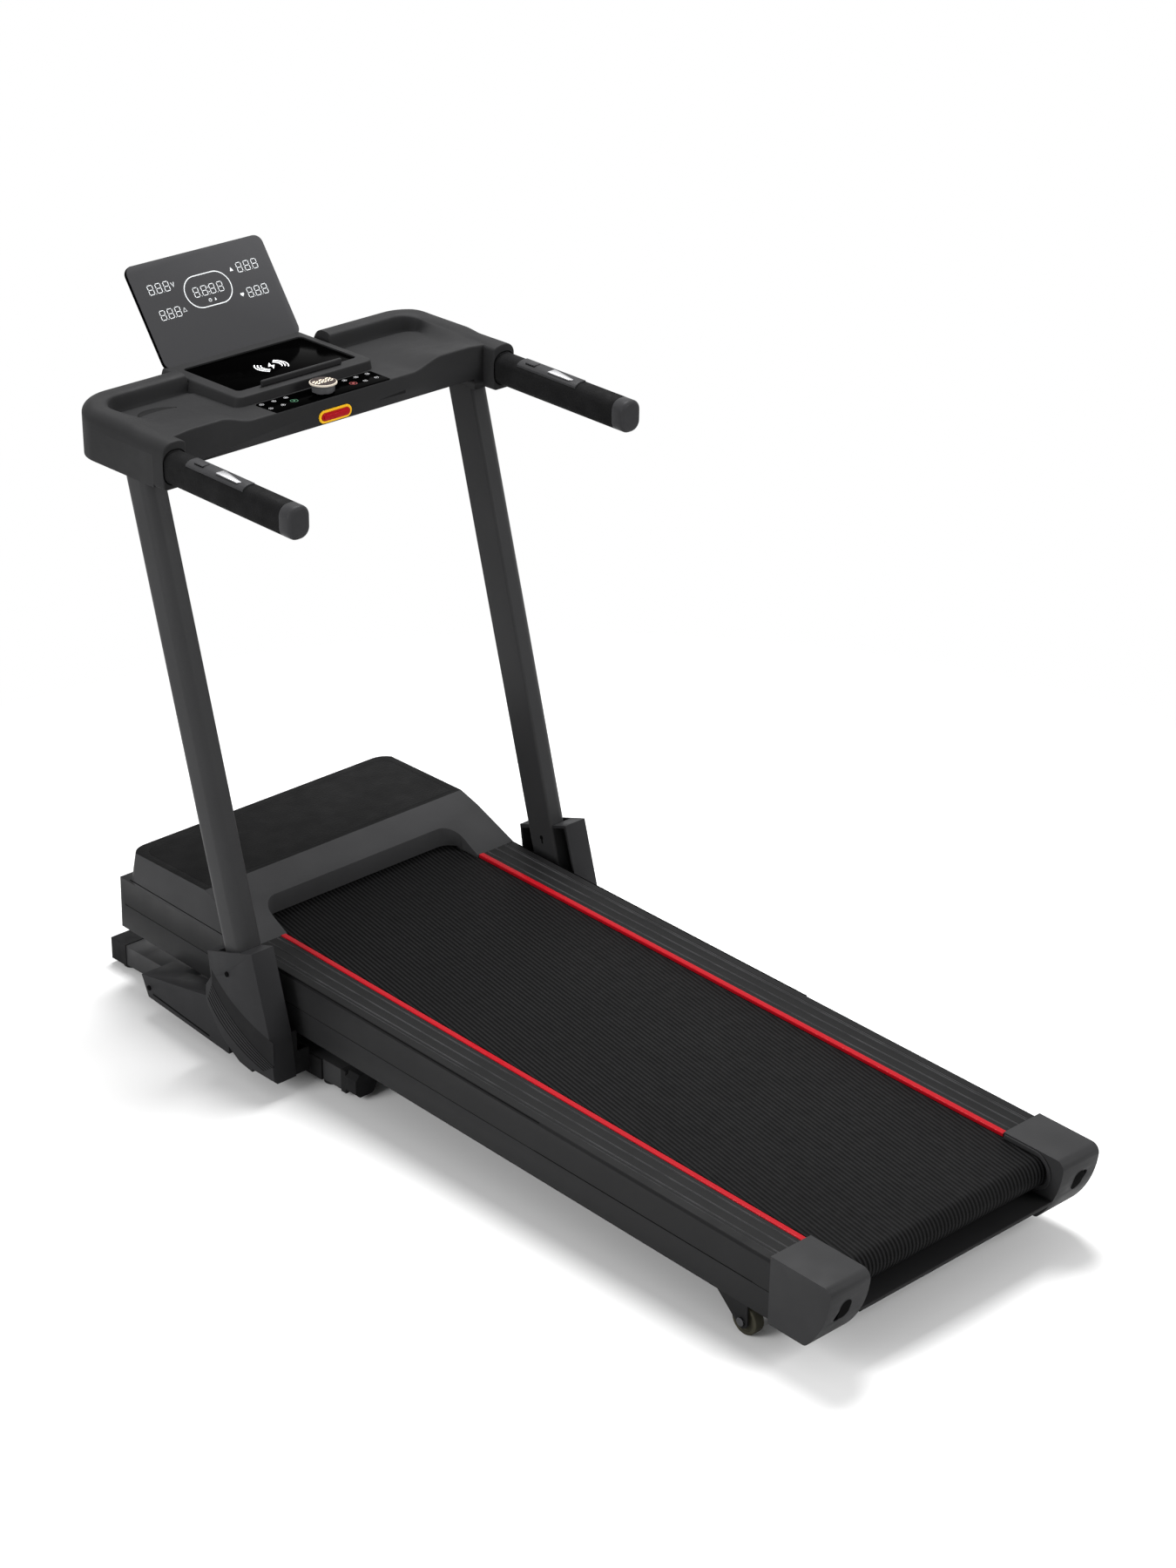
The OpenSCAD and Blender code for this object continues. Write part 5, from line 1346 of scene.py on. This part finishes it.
def patch(skin, place, outline, rise=0.00015):
    """A filled shape of print: its counterclockwise outline raised a little off the surface."""
    rows = np.array([at_height(outline, height) for height in (0.0, rise)])
    skin.grid(place(rows), wrap_cols=True, caps=True)


def ring_path(x, y, radius, start=0.0, end=360.0, count=24):
    """Points on a circle from one angle to another, in degrees."""
    t = np.radians(np.linspace(start, end, count, endpoint=end - start < 360))
    return np.stack([x + radius * np.cos(t), y + radius * np.sin(t)], -1)


def eight(skin, place, x, y, high, wide, line):
    """Seven-segment eight: three level bars and four upright bars, each a little short of the corners."""
    gap = line * 0.75
    for row in (-1, 0, 1):
        at = y + row * high / 2
        stroke(skin, place, [[x - wide / 2 + gap, at], [x + wide / 2 - gap, at]], line)
    for column in (-1, 1):
        for row in (-1, 1):
            near, far = sorted((y, y + row * high / 2))
            at = x + column * wide / 2
            stroke(skin, place, [[at, near + gap], [at, far - gap]], line)


def group_of_eights(skin, place, x, y, pitch, count, high=0.0165, wide=0.0098, line=0.0012):
    """A row of eights with a small point between neighbours."""
    for i in range(count):
        at = x + (i - (count - 1) / 2) * pitch
        eight(skin, place, at, y, high, wide, line)
        if i + 1 < count:
            patch(skin, place, ring_path(at + pitch / 2, y - high / 2, line * 0.55, count=8))


class MakeDisplay(bpy.types.Operator):
    """Display slab with its digits and symbols."""

    bl_idname = "treadmill.display"
    bl_label = "Display"

    def execute(self, context):
        soften("display_housing", "gloss_black", 0.0012, 3)
        soften("display_glass", "display_face", 0.0005, 2)
        middle, axes, half = slab_axes("display_glass")
        along = axes[1] * np.sign(axes[1][2])
        off = axes[2] * -np.sign(axes[2][1])

        def place(p):
            """Turns places (across, up, height off it) on the display's face into row places."""
            return middle + p[..., :1] * ACROSS + p[..., 1:2] * along + (p[..., 2:] + half[2]) * off

        s = context.scene.treadmill_display
        skin = Skin()
        high, low = s.upper_row, s.lower_row
        for x, y, pitch in (
            (-0.0930, high, 0.016), (0.0908, high, 0.016), (-0.0905, low, 0.0155), (0.0912, low, 0.0155)
        ):
            group_of_eights(skin, place, x, y, pitch, 3)
        self.symbols(skin, place, high, low)
        self.clock(skin, place, (high + low) / 2)
        skin.build_mark("display_digits", "digit_glow", "display_glass")
        return {"FINISHED"}

    @staticmethod
    def symbols(skin, place, high, low):
        """A tick, a triangle outline, a solid triangle and a heart beside the outer groups. The heart is
        16 times the sine's cube across, and 13, -5, -2 and -1 times the cosines of 1 to 4 turns up."""
        tick = [[-0.0672, high + 0.004], [-0.0643, high - 0.004], [-0.0614, high + 0.004]]
        stroke(skin, place, tick, 0.0014)
        triangle = np.array([[-0.0035, -0.003], [0.0035, -0.003], [0, 0.004]])
        stroke(skin, place, triangle + [-0.0615, low], 0.0012, closed=True)
        patch(skin, place, triangle + [0.0575, high])
        t = np.linspace(0, 2 * np.pi, 28, endpoint=False)
        up = 13 * np.cos(t) - 5 * np.cos(2 * t) - 2 * np.cos(3 * t) - np.cos(4 * t)
        heart = np.stack([16 * np.sin(t) ** 3, up], -1)
        patch(skin, place, heart[::-1] * 0.00024 + [0.0590, low])

    @staticmethod
    def clock(skin, place, middle):
        """Four eights with a colon inside a long ring, over a small clock face and an arrow."""
        x = -0.0015
        ring = soft_rect(0.094, 0.056, 0.0279, 20) + [x, middle]
        stroke(skin, place, ring, 0.0017, closed=True)
        group_of_eights(skin, place, x, middle, 0.0166, 4)
        for up in (-0.004, 0.004):
            patch(skin, place, ring_path(x, middle + up, 0.001, count=8))
        face_x, face_y = x - 0.0045, middle - 0.0182
        stroke(skin, place, ring_path(face_x, face_y, 0.0026, count=20), 0.0009, closed=True)
        stroke(skin, place, [[face_x, middle - 0.0166], [face_x, face_y]], 0.0007)
        arrow = np.array([[0.0045, -0.0205], [0.0085, -0.0205], [0.0065, -0.0155]])
        patch(skin, place, arrow + [x, middle])


class MakePanels(bpy.types.Operator):
    """Charging pad, control strip and knob, with their symbols."""

    bl_idname = "treadmill.panels"
    bl_label = "Pad, buttons and knob"

    def execute(self, context):
        self.pad()
        self.strip()
        self.knob()
        return {"FINISHED"}

    @staticmethod
    def plate(name, node, corner, steps, top, edge):
        """Polished plate: the CAD node's outline in plan with round corners, up to a softened top edge."""
        low, high = row_box(node)
        outline = soft_rect(high[0] - low[0], high[1] - low[1], corner, steps) + (low + high)[:2] / 2
        skin = Skin().grid(slab_rows(outline, low[2], top, edge), wrap_cols=True, caps=True)
        skin.build(name, "gloss_black", node)

    def pad(self):
        """Plate in the block's recess, with a bolt between three pairs of arcs."""
        low, high = row_box("charging_pad")
        top = high[2] - 0.0022
        self.plate("pad_glass", "charging_pad", 0.008, 9, top, 0.0005)
        skin, place = Skin(), on_level(top)
        x, y = (low + high)[:2] / 2 - [0.002, 0.006]
        half_turn = 47
        for side in (0, 180):
            for radius in (0.0175, 0.0228, 0.0281):
                arc = ring_path(x, y, radius, side - half_turn, side + half_turn, 20)
                stroke(skin, place, arc, 0.0021)
        half_bolt = np.array([[0.0075, 0.0175], [-0.0085, -0.001], [-0.001, -0.001]])
        patch(skin, place, np.concatenate([half_bolt, -half_bolt]) * 0.85 + [x, y])
        skin.build_mark("pad_symbol", "white_print", "charging_pad")

    def strip(self):
        """Plate with five ringed buttons and one large coloured button on each side of the knob."""
        low, high = row_box("control_strip")
        self.plate("strip_glass", "control_strip", 0.003, 5, high[2], 0.0004)
        white, green, red = Skin(), Skin(), Skin()
        place = on_level(high[2])
        rear, front = low[1] + 0.0205, low[1] + 0.0445
        columns = {-1: (-0.1135, -0.0887, -0.0638), 1: (0.107, 0.0828, 0.0585)}
        for side, (outer, middle, inner) in columns.items():
            buttons = ((outer, rear), (outer, front), (middle, rear), (middle, front), (inner, front))
            for i, (x, y) in enumerate(buttons):
                stroke(white, place, ring_path(x, y, 0.0036, count=20), 0.0006, closed=True)
                self.sign(white, place, x, y, i, side)
        start, stop, y = -0.0632, 0.0604, rear + 0.0035
        for skin, x in ((green, start), (red, stop)):
            stroke(skin, place, ring_path(x, y, 0.0062, count=28), 0.001, closed=True)
        patch(green, place, ring_path(start, y, 0.0036, 0, 360, 3))
        patch(red, place, soft_rect(0.005, 0.005, 0.0006, 3) + [stop, y])
        white.build_mark("buttons_white", "button_print", "control_strip")
        green.build_mark("buttons_green", "green_print", "control_strip")
        red.build_mark("buttons_red", "red_print", "control_strip")

    @staticmethod
    def sign(skin, place, x, y, i, side):
        """Plain sign inside a button: minus, plus, arrow, bars or dot."""
        arm = 0.0019
        if i in (0, 1):
            stroke(skin, place, [[x - arm, y], [x + arm, y]], 0.0009)
        if i == 1:
            stroke(skin, place, [[x, y - arm], [x, y + arm]], 0.0009)
        if i == 2:
            patch(skin, place, ring_path(x, y, 0.002, 90 * side, 90 * side + 360, 3))
        if i == 3:
            for at in (x - 0.001, x + 0.001):
                stroke(skin, place, [[at, y - arm], [at, y + arm]], 0.0008)
        if i == 4:
            patch(skin, place, ring_path(x, y, 0.0014, count=10))

    @staticmethod
    def knob():
        """Turned knob: its outline, from the stem out and up to the top that bears the digits, carried round
        the upright axis, with six shallow finger hollows, a squared cosine of the turn, that fade towards the
        top."""
        low, high = row_box("knob")
        x, y, _ = (low + high) / 2
        radius, top = (high[0] - low[0]) / 2, high[2]
        base = row_box("control_strip")[1][2] + 0.0003
        stem, depth, rim_row = 0.004, 0.0016, 6
        profile = np.array(
            [
                [stem, low[2]], [stem, base], [radius - 0.006, base], [radius - 0.0045, base + 0.0006],
                [radius - 0.0035, top - 0.007], [radius - 0.0006, top - 0.0048], [radius, top - 0.0038],
                [radius, top - 0.0022], [radius - 0.0006, top - 0.0014], [radius - 0.0014, top - 0.0012],
                [radius - 0.0018, top - 0.0008],
            ]
        )
        turn = np.linspace(0, 2 * np.pi, 96, endpoint=False)
        hollow = depth * np.maximum(np.cos(turn * 6), 0) ** 2
        fade = np.clip((top - 0.004 - profile[:, 1]) / 0.008, 0, 1) * (profile[:, 0] > 0.01)
        reach = profile[:, :1] - fade[:, None] * hollow
        z = np.broadcast_to(profile[:, 1:], reach.shape)
        rows = np.stack([x + reach * np.cos(turn), y + reach * np.sin(turn), z], -1)
        ring = Skin()
        ring.grid(rows[: rim_row + 1], wrap_cols=True)
        ring.grid(rows[rim_row:], wrap_cols=True, kind=1)
        ring.face(rows[0][::-1])
        ring.face(rows[-1], 2)
        ring.build("knob_turned", ("knob_grey", "cream_ring", "knob_top"), "knob", weld=1e-6, sharp=28)
        digits = Skin()
        place = on_level(profile[-1, 1])
        group_of_eights(digits, place, x, y + 0.001, 0.0132, 3, 0.0125, 0.0085, 0.0021)
        digits.build_mark("knob_digits", "amber_print", "knob", "speed_knob")


# ---- Handles ----
class MakeHandles(bpy.types.Operator):
    """Grips, rounded end caps, thumb pads, keys and pulse plates."""

    bl_idname = "treadmill.handles"
    bl_label = "Handles"

    def execute(self, context):
        s = context.scene.treadmill_frame
        soften("handle_grips", "grip_rubber", 0.0008, 2)
        soften("thumb_pads", "smooth_plastic", 0.0012, 3)
        soften("pulse_plates", "silver", 0.0004, 2)
        for node in ("thumb_key_left", "thumb_key_right"):
            soften(node, "smooth_plastic", 0.0004, 2)
        skin = Skin()
        for side, _ in SIDES:
            skin.grid(self.end_cap(side, s), wrap_cols=True, caps=True)
        skin.build("handle_ends", "smooth_plastic", "handle_caps", outward=True, sharp=32)
        return {"FINISHED"}

    @staticmethod
    def end_cap(side, s):
        """Rows of one end cap: the grip's rounded section carried along the grip, moved in by
        cap_round (1 - sin t) at cap_round (1 - cos t) from its end, and a little at the joint."""
        ahead, down = lean_of(slab_axes("handle_grips", side)[1], 1)
        upward = -down
        reach = node_points("handle_caps", side) @ np.stack([ACROSS, ahead, upward]).T
        low, high = reach.min(0), reach.max(0)
        centre = (low + high) / 2
        outline = soft_rect(high[0] - low[0], high[2] - low[2], s.grip_corner, 9)
        turn = np.linspace(np.pi / 2, 0, 7)[::-1]
        rows = [inset(outline, s.cap_round * (1 - math.sin(t))) for t in turn]
        rows = np.array([*rows, outline, inset(outline, 0.0006)])
        along = [low[1] + s.cap_round * (1 - math.cos(t)) for t in turn]
        along = np.array([*along, high[1] - 0.001, high[1]])[:, None, None]
        across, up = rows[..., :1] + centre[0], rows[..., 1:] + centre[2]
        return across * ACROSS + up * upward + along * ahead


class MakeCovers(bpy.types.Operator):
    """Covers over the uprights' feet and the base with their grooves, and the small holes, slots and lines
    drawn as black marks of painted shade.
    """

    bl_idname = "treadmill.covers"
    bl_label = "Foot covers and small marks"

    def execute(self, context):
        for cover, reshape in (("base_cover_", self.lengthen), ("upright_cover_", self.flatten)):
            for side in ("left", "right"):
                soften(cover + side, "cover_plastic", 0.0022, 3, 20, reshape=reshape)
        for side, name in SIDES:
            self.grooves(side, "upright_cover_" + name)
            self.slot_line(side, "base_cover_" + name)
            self.frame_lines(side, "side_frame_" + name)
            self.cap_hole(side, name)
            self.keyhole(side, "upright_" + name)
        return {"FINISHED"}

    @staticmethod
    def outer_face(side, node):
        """Turns places (along, up, height off it) on a cover's outer face into row places."""
        x = np.abs(node_points(node)[:, 0]).max()
        return lambda p: np.stack([side * (x + p[..., 2]), p[..., 0], p[..., 1]], -1)

    @staticmethod
    def flatten(points):
        """Draws the cover's inner wall back to the upright's flat face, leaving a tenth of its shape."""
        inner, wall, face = 0.317, 0.3233, 0.3226
        p = points.copy()
        way = np.abs(p[:, 0])
        p[:, 0] = np.sign(p[:, 0]) * np.where(way < wall, face + (way - inner) * 0.1, way)
        return p

    @staticmethod
    def lengthen(points):
        """Carries the base cover's rear end on behind the upright's cover."""
        reach, end = 0.034, 0.012
        p = points.copy()
        p[:, 1] -= reach * (p[:, 1] < p[:, 1].min() + end)
        return p

    def grooves(self, side, node):
        """Six grooves drawn as black strokes of painted shade, and a band of painted shade above them for a
        facet that lies in shade, sweep down the cover: each groove is a cubic curve whose four guide points
        lie between those of the first and the last one."""
        front = [row_box(node)[1][1], 0]
        first = np.array([[-0.019, 0.155], [-0.060, 0.104], [-0.120, 0.078], [-0.177, 0.063]]) + front
        last = np.array([[-0.006, 0.124], [-0.036, 0.080], [-0.090, 0.056], [-0.150, 0.045]]) + front
        t = np.linspace(0, 1, 26)[:, None]
        weights = np.concatenate([(1 - t) ** 3, 3 * t * (1 - t) ** 2, 3 * t**2 * (1 - t), t**3], 1)
        skin, place = Skin(), self.outer_face(side, node)
        for share in np.linspace(0, 1, 6) ** 1.1:
            stroke(skin, place, weights @ (first + (last - first) * share), 0.0017, 0.0002)
        edge = weights @ first
        above = edge + np.column_stack([0 * t, 0.028 + 0.017 * t])
        rows = np.stack([at_height(above, 0.0001), at_height(edge, 0.0001)])
        band = Skin().grid(place(rows), flip=side < 0)
        band.build("band_" + node, "cover_shade", None, "stand", node)
        skin.build_mark("grooves_" + node, "hole_black", node)

    def slot_line(self, side, node):
        """Long straight slot low on the base cover, drawn as a black strip of painted shade."""
        low, high = row_box(node)
        line = [[high[1] - 0.030, low[2] + 0.030], [low[1] + 0.022, low[2] + 0.013]]
        skin = Skin()
        stroke(skin, self.outer_face(side, node), line, 0.003, 0.0002)
        skin.build_mark("slot_" + node, "hole_black", node)

    @staticmethod
    def frame_lines(side, node):
        """Painted shade: a black line filling the groove along the middle of the side frame, and one in the
        seam under the hood's edge in front of it: one small section carried straight along the deck for each."""
        low, high = deck_box(node)
        middle, outer = (low[2] + high[2]) / 2 - 0.001, max(abs(low[0]), abs(high[0]))
        hood = from_row(node_points("hood"))
        wide = hood[:, 0].max()
        seam = hood[hood[:, 0] > wide - 0.001][:, 2].max() - 0.0068
        sunk = 0.0004
        section = soft_rect(0.0006, 0.0019, 0.0002, 1)
        skin = Skin()
        for across, up, start, end in (
            (outer, middle, low[1] + 0.12, 0.45),
            (wide, seam, 0.44, hood[:, 1].max() - 0.02),
        ):
            skin.grid(along_deck(section + [across - sunk, up], start, end, side), wrap_cols=True, caps=True)
        skin.build("line_" + node, "hole_black", None, "deck", node, outward=True)

    @staticmethod
    def cap_profile():
        """Rear profile of the end caps as places (up, along): at each height the rearmost point, less those
        that lie in front of a straight line between their neighbours."""
        points = from_row(node_points("end_caps"))
        points = points[points[:, 1] < points[:, 1].min() + 0.05]
        hull = []
        for up in np.unique(np.round(points[:, 2], 4)):
            end = points[np.abs(points[:, 2] - up) < 0.0002][:, 1].min()
            while len(hull) > 1:
                (up0, end0), (up1, end1) = hull[-2:]
                if (end1 - end0) * (up - up0) < (end - end0) * (up1 - up0):
                    break
                hull.pop()
            hull.append((up, end))
        return np.array(hull).T

    def cap_hole(self, side, name):
        """Black oval of painted shade for the belt's tension-bolt recess on the cap's end: rings shared
        evenly between the oval's middle and its outline, laid on the cap's own profile."""
        high = deck_box("end_caps")[1]
        profile = self.cap_profile()
        outline = soft_rect(0.023, 0.036, 0.0112, 9) + [high[0] - 0.038, high[2] - 0.050]
        share = np.linspace(0.02, 1, 12)[:, None, None]
        rings = outline.mean(0) + (outline - outline.mean(0)) * share
        end = np.interp(rings[..., 1], *profile) - 0.0005
        place = on_deck(np.stack([side * rings[..., 0], end, rings[..., 1]], -1))
        skin = Skin().grid(place, wrap_cols=True, caps=True)
        skin.build("cap_hole_" + name, "hole_black", None, "deck", "end_caps", outward=True)

    @staticmethod
    def keyhole(side, node):
        """Small keyhole on the upright's flat inner face, a little above the foot cover, drawn as a black
        patch of painted shade.
        """
        middle, axes, half = slab_axes(node)
        lean, level = lean_of(axes)
        up = (row_box(node)[0][2] + 0.158 - middle[2]) / lean[2]
        drift = bpy.context.scene.treadmill_frame.toe_in * (up / half[0] + 1) / 2
        inward = np.ptp(node_points(node)[:, 0]) / 2 + drift

        def place(p):
            """Turns places (along, up, height off it) on the upright's inner face into row places."""
            plane = middle + p[..., :1] * level + (p[..., 1:2] + up) * lean
            return plane - side * (inward + p[..., 2:]) * ACROSS

        skin = Skin()
        patch(skin, place, ring_path(0, 0, 0.004, count=14))
        patch(skin, place, soft_rect(0.0035, 0.011, 0.0017, 3) + [0, -0.006])
        skin.build("keyhole_" + node, "hole_black", None, "stand", node, outward=True)


class TREADMILL_PT_pieces(bpy.types.Panel):
    """Lists the sizes, the colours and the pieces."""

    bl_label = "Treadmill"
    bl_space_type = "VIEW_3D"
    bl_region_type = "UI"
    bl_category = "Treadmill"

    def draw(self, context):
        for name, kind in GROUPS.items():
            box = self.layout.box()
            for key in kind.__annotations__:
                box.prop(getattr(context.scene, name), key)
        for maker in MAKERS:
            self.layout.operator(maker.bl_idname)


GROUPS = {
    "treadmill_deck": TreadmillDeckSizes,
    "treadmill_frame": TreadmillFrameSizes,
    "treadmill_console": TreadmillConsoleSizes,
    "treadmill_display": TreadmillDisplaySizes,
    "treadmill_finishes": TreadmillFinishes,
    "treadmill_studio": TreadmillStudio,
}
MAKERS = (
    MakeStage, MakeFrame, MakeRunningGear, MakeUprights, MakeBelt, MakeRails, MakeHood, MakeConsole,
    MakeDisplay, MakePanels, MakeHandles, MakeCovers,
)


def register():
    for kind in (*GROUPS.values(), *MAKERS, TREADMILL_PT_pieces):
        bpy.utils.register_class(kind)
    for name, kind in GROUPS.items():
        setattr(bpy.types.Scene, name, PointerProperty(type=kind))


def unregister():
    for name in GROUPS:
        delattr(bpy.types.Scene, name)
    for kind in reversed((*GROUPS.values(), *MAKERS, TREADMILL_PT_pieces)):
        bpy.utils.unregister_class(kind)


def main():
    """Makes every piece in order."""
    register()
    for maker in MAKERS:
        group, action = maker.bl_idname.split(".")
        if getattr(getattr(bpy.ops, group), action)() != {"FINISHED"}:
            raise RuntimeError(maker.bl_label + " was not finished")


if __name__ == "__main__":
    main()
